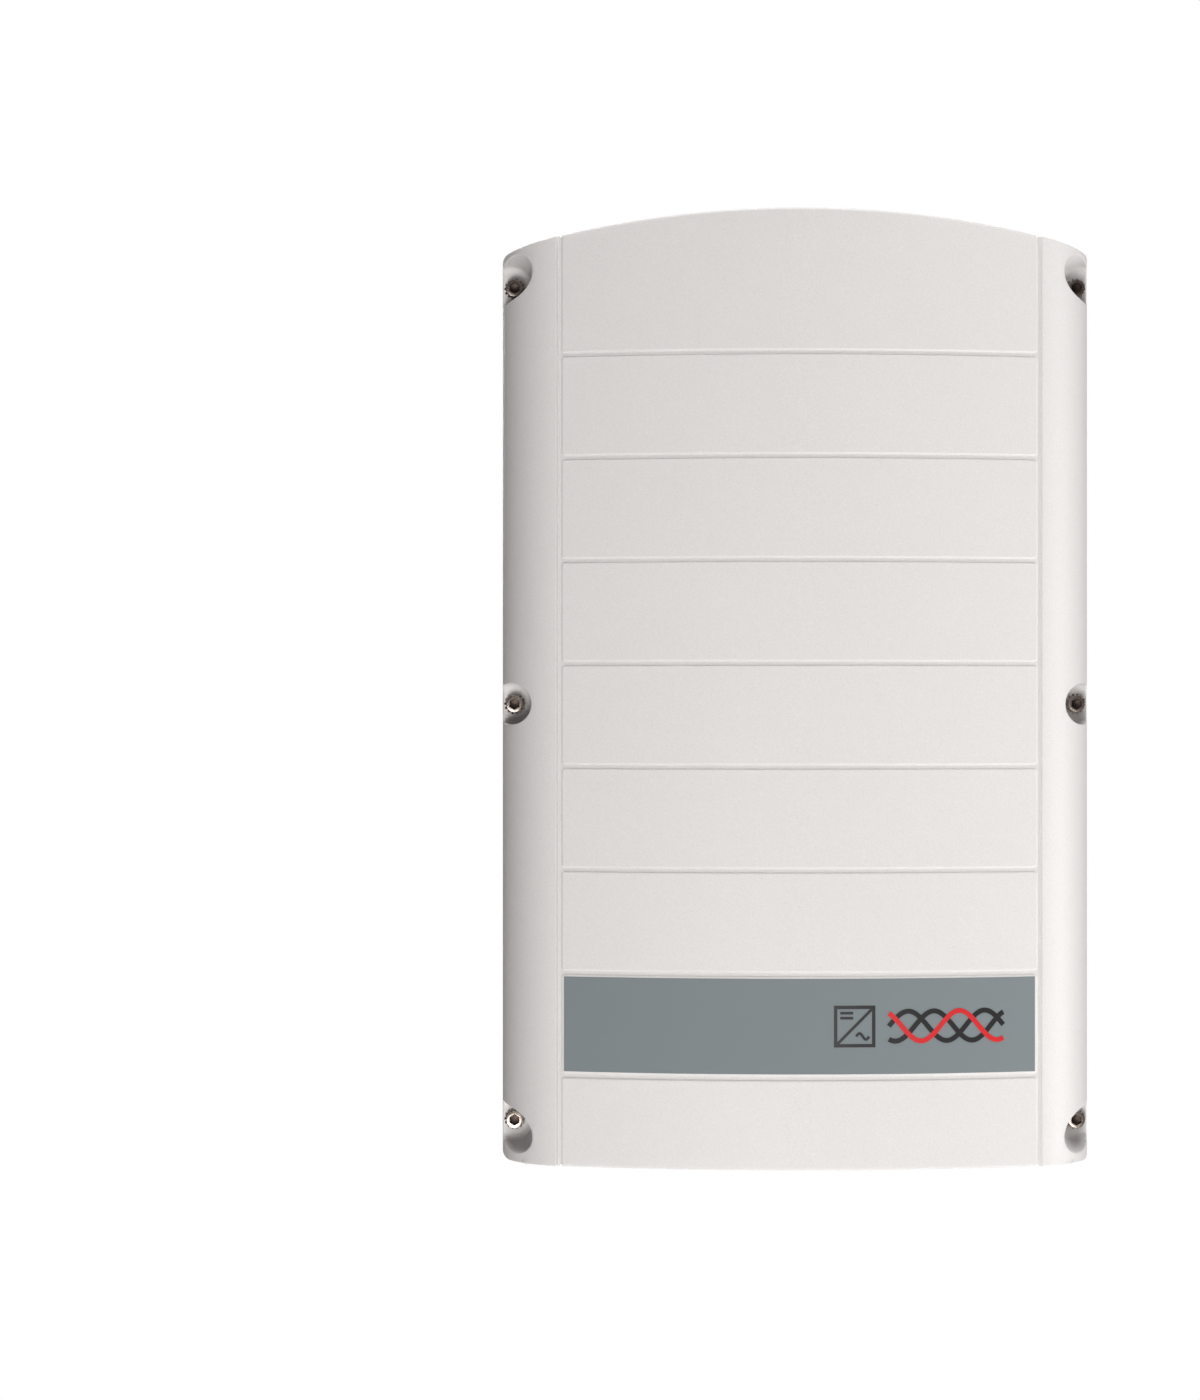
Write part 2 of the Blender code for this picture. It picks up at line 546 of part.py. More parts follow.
def make_entries():
    """Sockets, port, glands, vent and stud under the raised floor."""
    def under(name, x, profile, finish, segments=20):
        return turned(name, profile, (x, ENTRY_Y, ENTRY_Z - GAP), (0, 0, 1), finish, segments)

    for index, x in enumerate(DC_SOCKET_X):
        under(f"dc_socket_{index + 1}", x,
              [(0, 0.0095), (0.0056, 0.0095), (0.0056, 0), (0.0088, 0), (0.0088, -0.0035), (0.0072, -0.0035),
               (0.0072, -0.0280), (0.0048, -0.0280), (0.0048, -0.0060), (0, -0.0060)], BLACK_PLASTIC)
    under("monitoring_port", PORT_X,
          [(0.0, 0.0080), (0.0056, 0.0080), (0.0056, 0), (0.0082, 0), (0.0082, -0.0030), (0.0062, -0.0030),
           (0.0062, -0.0110), (0.0042, -0.0110), (0.0042, 0.0030), (0, 0.0030)], BLACK_PLASTIC)
    under("port_cap", PORT_X,
          [(0, -0.0114), (0.0065, -0.0114), (0.0065, -0.0034), (0.0081, -0.0034), (0.0081, -0.0165),
           (0, -0.0165)], RUBBER)
    for name, x, scale in (("ac_gland", AC_GLAND_X, 1.0), ("data_gland", DATA_GLAND_X, 0.64)):
        bore = 0.0090 * scale
        under(f"{name}_body", x,
              [(bore + 0.0020, 0.0095), (0.0123 * scale, 0.0095), (0.0123 * scale, 0), (0.0160 * scale, 0),
               (0.0160 * scale, -0.0050), (0.0118 * scale, -0.0050), (0.0118 * scale, -0.0170),
               (bore + 0.0020, -0.0170)], GREY_PLASTIC)
        under(f"{name}_seal", x,
              [(bore, -0.0080), (bore + 0.0020 - GAP, -0.0080), (bore + 0.0020 - GAP, -0.0200), (bore, -0.0200)],
              RUBBER)
        under(f"{name}_nut", x,
              [(0.0127 * scale, -0.0055), (0.0158 * scale, -0.0055), (0.0158 * scale, -0.0220),
               (0.0125 * scale, -0.0300), (bore + 0.0003, -0.0300), (bore + 0.0003, -0.0203),
               (0.0127 * scale, -0.0203)], GREY_PLASTIC, segments=12)
    under("vent_plug", VENT_X,
          [(0, 0.0060), (0.0058, 0.0060), (0.0058, 0), (0.0090, 0), (0.0090, -0.0050), (0.0075, -0.0065),
           (0, -0.0065)], BLACK_PLASTIC)
    under("ground_stud", GROUND_X,
          [(0, 0.0060), (0.0033, 0.0060), (0.0033, 0), (0.0080, 0), (0.0080, -0.0015), (0.0058, -0.0015),
           (0.0058, -0.0065), (0.0030, -0.0065), (0.0030, -0.0160), (0, -0.0160)], STEEL, segments=18)


def make_switch():
    body = box("dc_switch_body", (SWITCH_X - 0.018, ENTRY_Y - 0.018, CAVITY_BOTTOM_Z + GAP),
               (SWITCH_X + 0.018, MOUNT_Y - 0.001 + 0.018, CAVITY_BOTTOM_Z + 0.036), GREY_PLASTIC)
    bevel(body, 0.001)
    knob = turned("dc_switch_knob",
                  [(0, 0.0045), (0.0058, 0.0045), (0.0058, 0), (0.0165, 0), (0.0165, -0.0040), (0.0150, -0.0070),
                   (0, -0.0070)], (SWITCH_X, ENTRY_Y, ENTRY_Z - GAP), (0, 0, 1), BLACK_PLASTIC)
    grip = box("cut_knob_grip", (SWITCH_X - 0.0040, ENTRY_Y - 0.0150, ENTRY_Z - 0.0240),
               (SWITCH_X + 0.0040, ENTRY_Y + 0.0150, ENTRY_Z - 0.0050))
    bevel(grip, 0.0015)
    boolean(knob, grip, "UNION")


def make_fan():
    x, y, z = FAN_CENTRE
    half = FAN_SIDE / 2
    frame = box("fan_frame", (x - half, y - half, z - FAN_HALF_DEPTH), (x + half, y + half, z + FAN_HALF_DEPTH),
                BLACK_PLASTIC)
    bevel(frame, 0.003)
    boolean(frame, cylinder("cut_fan_bore", FAN_BORE, (x, y, z - 0.02), (0, 0, 1), 0.04, segments=20))
    floor = z - FAN_HALF_DEPTH
    boolean(frame, cylinder("cut_fan_motor", 0.0090, (x, y, floor), (0, 0, 1), 0.0030), "UNION")
    for index in range(3):
        strut = box(f"cut_fan_strut_{index}", (0.005, -0.0012, 0.0004), (half - 0.0008, 0.0012, 0.0022))
        turn = Matrix.Rotation(math.radians(120 * index + 90), 4, "Z")
        strut.matrix_world = Matrix.Translation((x, y, floor)) @ turn @ strut.matrix_world
        boolean(frame, strut, "UNION")
    foot = box("cut_fan_foot", (x - 0.020, y + half - 0.001, floor + 0.001), (x + 0.020, MOUNT_Y, floor + 0.009))
    boolean(frame, foot, "UNION")
    rotor = turned("fan_rotor", [(0, 0.0050), (0.0085, 0.0050), (0.0095, 0.0040), (0.0095, -0.0035), (0, -0.0035)],
                   FAN_CENTRE, (0, 0, 1), BLACK_PLASTIC)
    for index in range(BLADE_COUNT):
        blade = box(f"cut_blade_{index}", (0.0080, -0.0055, -0.0007), (FAN_BORE - 0.0012, 0.0055, 0.0007))
        pitch = Matrix.Rotation(math.radians(32), 4, "X")
        turn = Matrix.Rotation(2 * math.pi * index / BLADE_COUNT, 4, "Z") @ pitch
        blade.matrix_world = Matrix.Translation(FAN_CENTRE) @ turn @ blade.matrix_world
        boolean(rotor, blade, "UNION")


make_cover()
make_cover_screws()
make_tub()
make_heat_sink()
make_hanging()
make_boards()
make_power_parts()
make_leads()
make_entries()
make_switch()
make_fan()
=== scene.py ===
import json
import random
from math import asin, atan2, copysign, cos, hypot, pi, radians, sin, sqrt

import bmesh
import bpy
import numpy as np
from mathutils import Matrix, Vector


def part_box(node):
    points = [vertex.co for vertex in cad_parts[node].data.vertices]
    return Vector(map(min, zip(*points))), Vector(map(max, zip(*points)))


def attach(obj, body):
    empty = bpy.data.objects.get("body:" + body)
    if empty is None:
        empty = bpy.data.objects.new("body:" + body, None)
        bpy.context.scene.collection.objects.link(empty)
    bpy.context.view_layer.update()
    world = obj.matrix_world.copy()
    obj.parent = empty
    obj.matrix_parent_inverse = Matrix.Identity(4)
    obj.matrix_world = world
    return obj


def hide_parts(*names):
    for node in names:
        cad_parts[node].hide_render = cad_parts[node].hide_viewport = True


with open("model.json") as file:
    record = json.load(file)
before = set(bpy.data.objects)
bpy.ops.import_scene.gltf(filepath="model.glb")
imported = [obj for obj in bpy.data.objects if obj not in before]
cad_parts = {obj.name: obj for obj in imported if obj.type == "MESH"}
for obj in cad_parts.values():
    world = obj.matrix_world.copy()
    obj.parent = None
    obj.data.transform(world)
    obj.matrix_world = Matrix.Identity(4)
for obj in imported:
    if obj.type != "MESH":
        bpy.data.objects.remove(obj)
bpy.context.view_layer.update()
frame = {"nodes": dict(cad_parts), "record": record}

SCENE = bpy.context.scene.collection

# The cover's own dimensions, in metres. Its box and the screws' places come from the frame.
COVER_LOW, COVER_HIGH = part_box("front_cover")
HALF_WIDTH = (COVER_HIGH.x - COVER_LOW.x) / 2
CREST_Z, BOTTOM_Z = COVER_HIGH.z, COVER_LOW.z
CROWN_Y, RIM_Y = COVER_LOW.y, COVER_HIGH.y
ARCH_RADIUS = 0.64
CORNER_RADIUS = 0.004
CROWN_RADIUS = 0.41
CROWN_CENTRE_Y = CROWN_Y + CROWN_RADIUS
SEAM_X = 0.1265
SEAM_ARC = CROWN_RADIUS * asin(SEAM_X / CROWN_RADIUS)
FLANK_LEAVE, FLANK_ARRIVE = 0.017, 0.031
WALL = 0.003
RIM_THICKNESS = 0.006
SEAT_Y = RIM_Y - RIM_THICKNESS
MOUTH_INSET = 0.0165
MOUTH_BOTTOM_Z = -0.3

GROOVE_COUNT = 8
GROOVE_PITCH = 0.0542
FIRST_GROOVE_DROP = 0.0755
GROOVE_HALF = 0.00155
GROOVE_DEPTH = 0.001
TILE_CORNER = 0.0013
PANEL_EDGE = 0.0015

PRINT_THICKNESS = 0.00005
SIDE_STROKE, SYMBOL_STROKE, PHASE_STROKE = 0.0018, 0.0014, 0.0026
PHASE_LENGTH, PHASE_HEIGHT = 0.062, 0.0078

POCKET_RADIUS = 0.011
CORNER_POCKET_RADIUS = 0.0116
POCKET_SHIFT = 0.0015
POCKET_LEAN = 0.15
POCKET_WALL = 0.0025
POCKET_FILLET = 0.0034

ROWS = (("top", 1), ("middle", 0), ("bottom", -1))
SIDES = (("left", -1), ("right", 1))
SCREWS = [(f"{row}_{side}", out, up) for row, up in ROWS for side, out in SIDES]
FRONT, UP = (0, -1, 0), (0, 0, 1)


# ---- materials

MATERIALS = {}

def add_node(tree, kind, **values):
    """A shader node with inputs set by name, where an underscore stands for a space."""
    made = tree.nodes.new("ShaderNode" + kind)
    for key, value in values.items():
        made.inputs[key.replace("_", " ")].default_value = value
    return made


def new_material(name, colour, roughness, metallic=0.0, mottle=(30, 0.03), rough_spread=0.06,
                 bump=(900, 0.1, 0.0003), stretch=(1, 1, 1), coat=0.0, tint=None):
    """A surface whose colour and roughness wander a little and whose grain is a fine bump.
    mottle is (scale, amount), and bump is (scale, strength, depth)."""
    made = MATERIALS[name] = bpy.data.materials.new(name)
    made.use_nodes = True
    made.diffuse_color = (*colour, 1.0)
    tree = made.node_tree
    link = tree.links.new
    shader = tree.nodes["Principled BSDF"].inputs
    shader["Metallic"].default_value = metallic
    shader["Coat Weight"].default_value = coat
    mapping = add_node(tree, "Mapping", Scale=stretch)
    link(add_node(tree, "TexCoord").outputs["Object"], mapping.inputs["Vector"])

    cloud = add_node(tree, "TexNoise", Scale=mottle[0], Detail=6)
    link(mapping.outputs["Vector"], cloud.inputs["Vector"])
    mix = add_node(tree, "Mix")
    mix.data_type = "RGBA"
    mix.inputs["A"].default_value = (*[c * (1 - mottle[1]) for c in colour], 1)
    mix.inputs["B"].default_value = (*[min(1, c * (1 + mottle[1])) for c in (tint or colour)], 1)
    link(cloud.outputs["Fac"], mix.inputs["Factor"])
    link(mix.outputs["Result"], shader["Base Color"])

    grain = add_node(tree, "TexNoise", Scale=bump[0], Detail=3)
    link(mapping.outputs["Vector"], grain.inputs["Vector"])
    spread = add_node(tree, "MapRange", To_Min=max(0.02, roughness - rough_spread),
                      To_Max=min(1.0, roughness + rough_spread))
    link(grain.outputs["Fac"], spread.inputs["Value"])
    link(spread.outputs["Result"], shader["Roughness"])
    relief = add_node(tree, "Bump", Strength=bump[1], Distance=bump[2])
    link(grain.outputs["Fac"], relief.inputs["Height"])
    link(relief.outputs["Normal"], shader["Normal"])
    return made


def add_speckle(made, scale, low, high):
    """Fine light and dark specks, as in a textured powder coat, multiplied into the colour."""
    tree = made.node_tree
    link = tree.links.new
    base = tree.nodes["Principled BSDF"].inputs["Base Color"]
    source = base.links[0].from_socket
    speck = add_node(tree, "TexNoise", Scale=scale, Detail=2)
    link(add_node(tree, "TexCoord").outputs["Object"], speck.inputs["Vector"])
    ramp = add_node(tree, "MapRange", From_Min=0.3, From_Max=0.7, To_Min=low, To_Max=high)
    link(speck.outputs["Fac"], ramp.inputs["Value"])
    scaled = add_node(tree, "VectorMath")
    scaled.operation = "SCALE"
    link(source, scaled.inputs[0])
    link(ramp.outputs["Result"], scaled.inputs["Scale"])
    link(scaled.outputs["Vector"], base)


POWDER = new_material("powder_coat", (0.715, 0.705, 0.69), 0.52, mottle=(14, 0.012),
                      bump=(1100, 0.42, 0.0003), rough_spread=0.08)
add_speckle(POWDER, 1500, 0.955, 1.045)
new_material("cast_housing", (0.5, 0.5, 0.49), 0.5, mottle=(20, 0.03), bump=(900, 0.35, 0.0003))
new_material("extruded_aluminium", (0.66, 0.67, 0.68), 0.36, 1.0, mottle=(12, 0.04),
             bump=(700, 0.1, 0.0002), stretch=(1, 1, 0.02), rough_spread=0.1)
# Dark steel for the faces inside the screws' hexagonal sockets: painted shade, darker than the head's own steel
# because the recess lies in shadow.
SOCKET_PAINTED_SHADE = new_material("socket_painted_shade", (0.075, 0.058, 0.05), 0.5, 1.0, (300, 0.2),
                            bump=(2500, 0.15, 0.0001))
STEEL = new_material("stainless_steel", (0.34, 0.295, 0.26), 0.27, 1.0, (300, 0.12),
                     bump=(2500, 0.1, 0.0001), rough_spread=0.1)
new_material("galvanised_sheet", (0.55, 0.57, 0.58), 0.38, 1.0, mottle=(90, 0.16),
             bump=(160, 0.06, 0.0003), rough_spread=0.12)
LABEL = new_material("label_film", (0.19, 0.222, 0.232), 0.72, 0, (40, 0.015), bump=(1800, 0.05, 0.0001))
PRINT_DARK = new_material("label_print_dark", (0.018, 0.018, 0.019), 0.4, 0, (80, 0.05),
                          bump=(1800, 0.05, 0.0001))
PRINT_RED = new_material("label_print_red", (0.62, 0.022, 0.026), 0.4, 0, (80, 0.05),
                         bump=(1800, 0.05, 0.0001))
RUBBER = new_material("black_rubber", (0.022, 0.022, 0.023), 0.72, 0, (60, 0.15), bump=(1500, 0.2, 0.0002))
BLACK_PLASTIC = new_material("black_plastic", (0.028, 0.029, 0.031), 0.42, 0, (50, 0.1),
                             bump=(1800, 0.22, 0.0002))
GREY_PLASTIC = new_material("grey_plastic", (0.3, 0.31, 0.32), 0.46, 0, (40, 0.05),
                            bump=(1500, 0.18, 0.0002))
GREEN_PLASTIC = new_material("green_plastic", (0.045, 0.28, 0.115), 0.42, 0, (40, 0.06),
                             bump=(1500, 0.15, 0.0002))
new_material("circuit_board", (0.012, 0.105, 0.048), 0.34, mottle=(220, 0.3), bump=(500, 0.12, 0.0002),
             coat=0.3, tint=(0.02, 0.15, 0.066))
COPPER = new_material("enamelled_copper", (0.5, 0.19, 0.055), 0.3, 0.75, (200, 0.12),
                      bump=(1200, 0.1, 0.0002), coat=0.5)
CORE = new_material("ferrite_core", (0.035, 0.038, 0.042), 0.6, 0, (120, 0.2), bump=(1300, 0.25, 0.0002))
SLEEVE = new_material("capacitor_sleeve", (0.014, 0.02, 0.042), 0.28, 0, (60, 0.08),
                      bump=(900, 0.05, 0.0002), coat=0.3)
SOLDER = new_material("tinned_metal", (0.62, 0.62, 0.63), 0.3, 1.0, (300, 0.1), bump=(1500, 0.15, 0.0002))
CERAMIC = new_material("ceramic_chip", (0.42, 0.36, 0.27), 0.5, 0, (300, 0.1), bump=(1500, 0.1, 0.0001))
RED_CABLE = new_material("red_cable", (0.4, 0.018, 0.018), 0.45, 0, (60, 0.06), bump=(900, 0.15, 0.0002))
BLACK_CABLE = new_material("black_cable", (0.018, 0.018, 0.019), 0.45, 0, (60, 0.12),
                           bump=(900, 0.15, 0.0002))
ORANGE = new_material("switch_marking", (0.8, 0.3, 0.02), 0.45, 0, (60, 0.05), bump=(1500, 0.1, 0.0001))
FLOOR = new_material("studio_floor", (0.91, 0.91, 0.9), 0.8, 0, (3, 0.01), bump=(200, 0.03, 0.0005))
BODY_OF = {node: body for body, nodes in frame["record"]["behaviour"]["bodies"].items() for node in nodes}


# ---- mesh helpers

def add(name, bm, finish=None, smooth_angle=35, outward=False):
    if outward:
        bmesh.ops.recalc_face_normals(bm, faces=bm.faces)
    mesh = bpy.data.meshes.new(name)
    bm.to_mesh(mesh)
    bm.free()
    obj = bpy.data.objects.new(name, mesh)
    SCENE.objects.link(obj)
    if finish:
        mesh.materials.append(finish)
    shade(mesh, smooth_angle)
    return obj


def shade(mesh, angle):
    mesh.shade_smooth()
    mesh.set_sharp_from_angle(angle=radians(angle))


def bake(obj):
    """Replaces the object's mesh by its evaluated one and drops its modifiers."""
    bpy.context.view_layer.update()
    evaluated = obj.evaluated_get(bpy.context.evaluated_depsgraph_get())
    mesh = bpy.data.meshes.new_from_object(evaluated)
    obj.modifiers.clear()
    obj.data = mesh
    return obj


def remove(*objects):
    for obj in objects:
        bpy.data.objects.remove(obj, do_unlink=True)


def combine(obj, other, operation="DIFFERENCE"):
    modifier = obj.modifiers.new(operation, "BOOLEAN")
    modifier.operation = operation
    modifier.object = other
    modifier.solver = "EXACT"
    bake(obj)
    remove(other)
    return obj


def thicken(sheet, thickness, offset, smooth_angle=None):
    modifier = sheet.modifiers.new("wall", "SOLIDIFY")
    modifier.thickness = thickness
    modifier.offset = offset
    bake(sheet)
    if smooth_angle:
        shade(sheet.data, smooth_angle)
    return sheet


def skin(bm, lines, around=False, closed=False):
    """Faces between lines of vertices. With around each line is a ring, and with closed the last line
    also joins the first."""
    count = len(lines[0])
    for upper, lower in list(zip(lines, lines[1:])) + ([(lines[-1], lines[0])] if closed else []):
        for step in range(count if around else count - 1):
            after = (step + 1) % count
            bm.faces.new((upper[step], lower[step], lower[after], upper[after]))


def bevel(obj, width, segments=2, angle=30):
    modifier = obj.modifiers.new("edge", "BEVEL")
    modifier.width = width
    modifier.segments = segments
    modifier.limit_method = "ANGLE"
    modifier.angle_limit = radians(angle)
    modifier.use_clamp_overlap = True
    return obj


def prism(name, outline, axis, start, end, finish=None):
    """A closed outline extruded along an axis. It is (y, z) along X, (x, z) along Y and (x, y) along Z."""
    bm = bmesh.new()
    at = "XYZ".index(axis)
    shift = Vector((0, 0, 0))
    shift[at] = end - start
    face = bm.faces.new([bm.verts.new((*point[:at], start, *point[at:])) for point in outline])
    copied = bmesh.ops.extrude_face_region(bm, geom=[face])
    moved = [item for item in copied["geom"] if isinstance(item, bmesh.types.BMVert)]
    bmesh.ops.translate(bm, vec=shift, verts=moved)
    return add(name, bm, finish, outward=True)


def frame_along(axis, location):
    turn = Vector((0, 0, 1)).rotation_difference(Vector(axis)).to_matrix().to_4x4()
    return Matrix.Translation(location) @ turn


def polar(name, rings, location, axis, finish=None, segments=48, smooth_angle=35, closed=False):
    """A turned shape of rings (radius, height), from its top down the outer side. Either may be a
    function of the angle. Without closed, the first and last rings are filled."""
    bm = bmesh.new()
    matrix = frame_along(axis, location)
    loops = []
    for radius, height in rings:
        loop = []
        for step in range(segments):
            angle = 2 * pi * step / segments
            r = radius(angle) if callable(radius) else radius
            h = height(angle) if callable(height) else height
            loop.append(bm.verts.new(matrix @ Vector((r * cos(angle), r * sin(angle), h))))
        loops.append(loop)
    if not closed:
        bm.faces.new(loops[0])
        bm.faces.new(list(reversed(loops[-1])))
    skin(bm, loops, True, closed)
    return add(name, bm, finish, smooth_angle, True)


def hexagon(across_flats, round_share=0.06):
    """The radius of a hexagon by angle, with its corners turned down a little."""
    def radius(angle):
        turned = (angle + pi / 6) % (pi / 3) - pi / 6
        corner = 1 / cos(pi / 6) - round_share
        return min(across_flats / 2 / cos(turned), across_flats / 2 * corner)
    return radius


def less(radius, amount):
    return lambda angle: radius(angle) - amount


def ribbed(radius, depth, count):
    return lambda angle: radius - depth * (0.5 - 0.5 * cos(count * angle)) ** 2


def thread_rings(steps, start, length, pitch, minor, major, height_of):
    """Rings of a screw thread. Its radius winds with the distance along the screw."""
    def radius_at(along):
        return lambda angle: minor + (major - minor) * (
            1 - abs(2 * ((along / pitch + angle / (2 * pi)) % 1.0) - 1))
    places = [start + length * step / steps for step in range(steps + 1)]
    return [(radius_at(along), height_of(along)) for along in places]


def boxes(name, items, finish, chamfer=0.0002):
    """Many small blocks in one piece. Each item is (low corner, high corner)."""
    bm = bmesh.new()
    for low, high in items:
        low, high = Vector(low), Vector(high)
        made = bmesh.ops.create_cube(bm, size=1.0)
        bmesh.ops.scale(bm, vec=high - low, verts=made["verts"])
        bmesh.ops.translate(bm, vec=(low + high) / 2, verts=made["verts"])
    obj = add(name, bm, finish)
    bevel(obj, chamfer, 1)
    return bake(obj)


def place(piece, node, replace=False):
    """Lets the piece ride with the node's body, and perhaps stand for the node."""
    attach(piece, BODY_OF[node])
    if replace:
        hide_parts(node)
    return piece


def seen_centre(node):
    """The (x, z) of a node's centre."""
    low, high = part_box(node)
    return (low.x + high.x) / 2, (low.z + high.z) / 2


def box_of(node):
    """A node's low corner, high corner and centre."""
    low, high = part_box(node)
    return low, high, (low + high) / 2


# ---- the cover

def crown_y(x, inset=0.0):
    return CROWN_CENTRE_Y - sqrt((CROWN_RADIUS - inset) ** 2 - x * x)


def flank(inset=0.0, first=0.0, steps=28):
    """The right flank's section from the seam to the rim, as (x, y)."""
    lean = asin(SEAM_X / CROWN_RADIUS)
    radius = CROWN_RADIUS - inset
    start = Vector((radius * sin(lean), CROWN_CENTRE_Y - radius * cos(lean)))
    end = Vector((HALF_WIDTH - inset, RIM_Y))
    leave = start + Vector((cos(lean), sin(lean))) * FLANK_LEAVE
    arrive = end - Vector((0, FLANK_ARRIVE))
    points = []
    for step in range(steps + 1):
        t = first + (1 - first) * step / steps
        points.append(start * (1 - t) ** 3 + leave * 3 * t * (1 - t) ** 2
                      + arrive * 3 * t * t * (1 - t) + end * t ** 3)
    return [tuple(point) for point in points]


def arched(inset, bottom, corner=CORNER_RADIUS, steps=48, corner_steps=8):
    """The front outline: straight sides and base under the arched upper edge, as (x, z)."""
    half = HALF_WIDTH - inset
    radius = ARCH_RADIUS - inset
    centre_z = CREST_Z - ARCH_RADIUS
    right = []
    for step in range(corner_steps + 1):
        angle = radians(-90 + 90 * step / corner_steps)
        right.append((half - corner + corner * cos(angle), bottom + corner + corner * sin(angle)))
    corner_z = centre_z + sqrt((radius - corner) ** 2 - (half - corner) ** 2)
    lean = atan2(half - corner, corner_z - centre_z)
    for step in range(corner_steps + 1):
        angle = (pi / 2 - lean) * step / corner_steps
        right.append((half - corner + corner * cos(angle), corner_z + corner * sin(angle)))
    for step in range(1, steps // 2 + 1):
        angle = lean * (1 - 2 * step / steps)
        right.append((radius * sin(angle), centre_z + radius * cos(angle)))
    return right + [(-x, z) for x, z in reversed(right[:-1])]


def pocket(name, x, z, out, up, grow, start_y, fillet):
    """A screw pocket's bore with a rounded floor. At the corners it leans up or down."""
    radius = (CORNER_POCKET_RADIUS if up else POCKET_RADIUS) + grow
    length = start_y - CROWN_Y + 0.002
    heights = [0.0] if not fillet else [fillet * (1 - cos(radians(15 * step))) for step in range(7)]
    rings = [(radius - fillet + fillet * sin(radians(15 * step)) if fillet else radius, height)
             for step, height in enumerate(heights)] + [(radius, length)]
    obj = polar(name, rings[::-1], (x + out * POCKET_SHIFT, start_y, z), FRONT, segments=40)
    for vertex in obj.data.vertices:
        vertex.co.z += up * POCKET_LEAN * (start_y - vertex.co.y)
    return obj


def right_side_section(inset, first_x, back):
    """A closed section for the right side: the flank's outer line shut along the back."""
    line = flank(inset)
    return [(first_x, crown_y(first_x, inset))] + line[:-1] + [(line[-1][0], back), (first_x, back)]


def flank_normals():
    """The right flank's section line, as rows of (x, y, normal x, normal y)."""
    points = [Vector(point) for point in flank()]
    rows = []
    for i, point in enumerate(points):
        along = (points[min(i + 1, len(points) - 1)] - points[max(i - 1, 0)]).normalized()
        rows.append((point.x, point.y, along.y, -along.x))
    return np.array(rows)


def even_normals(side, out):
    """Sets the true normals on the flank's and the pockets' round walls, which are cut into uneven faces."""
    mesh = side.data
    line = flank_normals()
    starts, steps = line[:-1, :2], line[1:, :2] - line[:-1, :2]
    pockets = []
    for name, side_sign, up in SCREWS:
        if side_sign == out:
            x, z = seen_centre(f"cover_screw_{name}")
            pockets.append((x + out * POCKET_SHIFT, z, up, CORNER_POCKET_RADIUS if up else POCKET_RADIUS))
    true = []
    for vertex in mesh.vertices:
        x, y, z = abs(vertex.co.x), vertex.co.y, vertex.co.z
        share = np.clip(((np.array([x, y]) - starts) * steps).sum(1) / (steps ** 2).sum(1), 0, 1)
        distance = np.hypot(*(starts + steps * share[:, None] - (x, y)).T)
        near = int(distance.argmin())
        found = []
        if distance[near] < 0.00007:
            normal = line[near, 2:] * (1 - share[near]) + line[near + 1, 2:] * share[near]
            found.append(Vector((normal[0] * out, normal[1], 0)).normalized())
        for pocket_x, pocket_z, up, radius in pockets:
            away = Vector((vertex.co.x - pocket_x, 0, z - pocket_z - up * POCKET_LEAN * (SEAT_Y - y)))
            if abs(away.length - radius) < 0.00004:
                found.append(-away.normalized())
        true.append(found)
    normals = [corner.vector.copy() for corner in mesh.corner_normals]
    for face in mesh.polygons:
        for loop in face.loop_indices:
            for normal in true[mesh.loops[loop].vertex_index]:
                if normal.dot(face.normal) > 0.88:
                    normals[loop] = normal
    mesh.normals_split_custom_set(normals)


def cut_level(obj, heights):
    """Adds level edges round the piece, which keep its long faces apart from the screw pockets."""
    bm = bmesh.new()
    bm.from_mesh(obj.data)
    for height in heights:
        bmesh.ops.bisect_plane(bm, geom=bm.verts[:] + bm.edges[:] + bm.faces[:],
                               plane_co=(0, 0, height), plane_no=(0, 0, 1))
    bm.to_mesh(obj.data)
    bm.free()


def inset_side(inset, first_x, back, past):
    """The right flank's solid, set in from its outside all round."""
    solid = prism("inset", right_side_section(inset, first_x, back), "Z", BOTTOM_Z - 0.01, CREST_Z + 0.01)
    outline = prism("outline", arched(inset, BOTTOM_Z + inset), "Y", CROWN_Y - 0.01, RIM_Y + past)
    return combine(solid, outline, "INTERSECT")


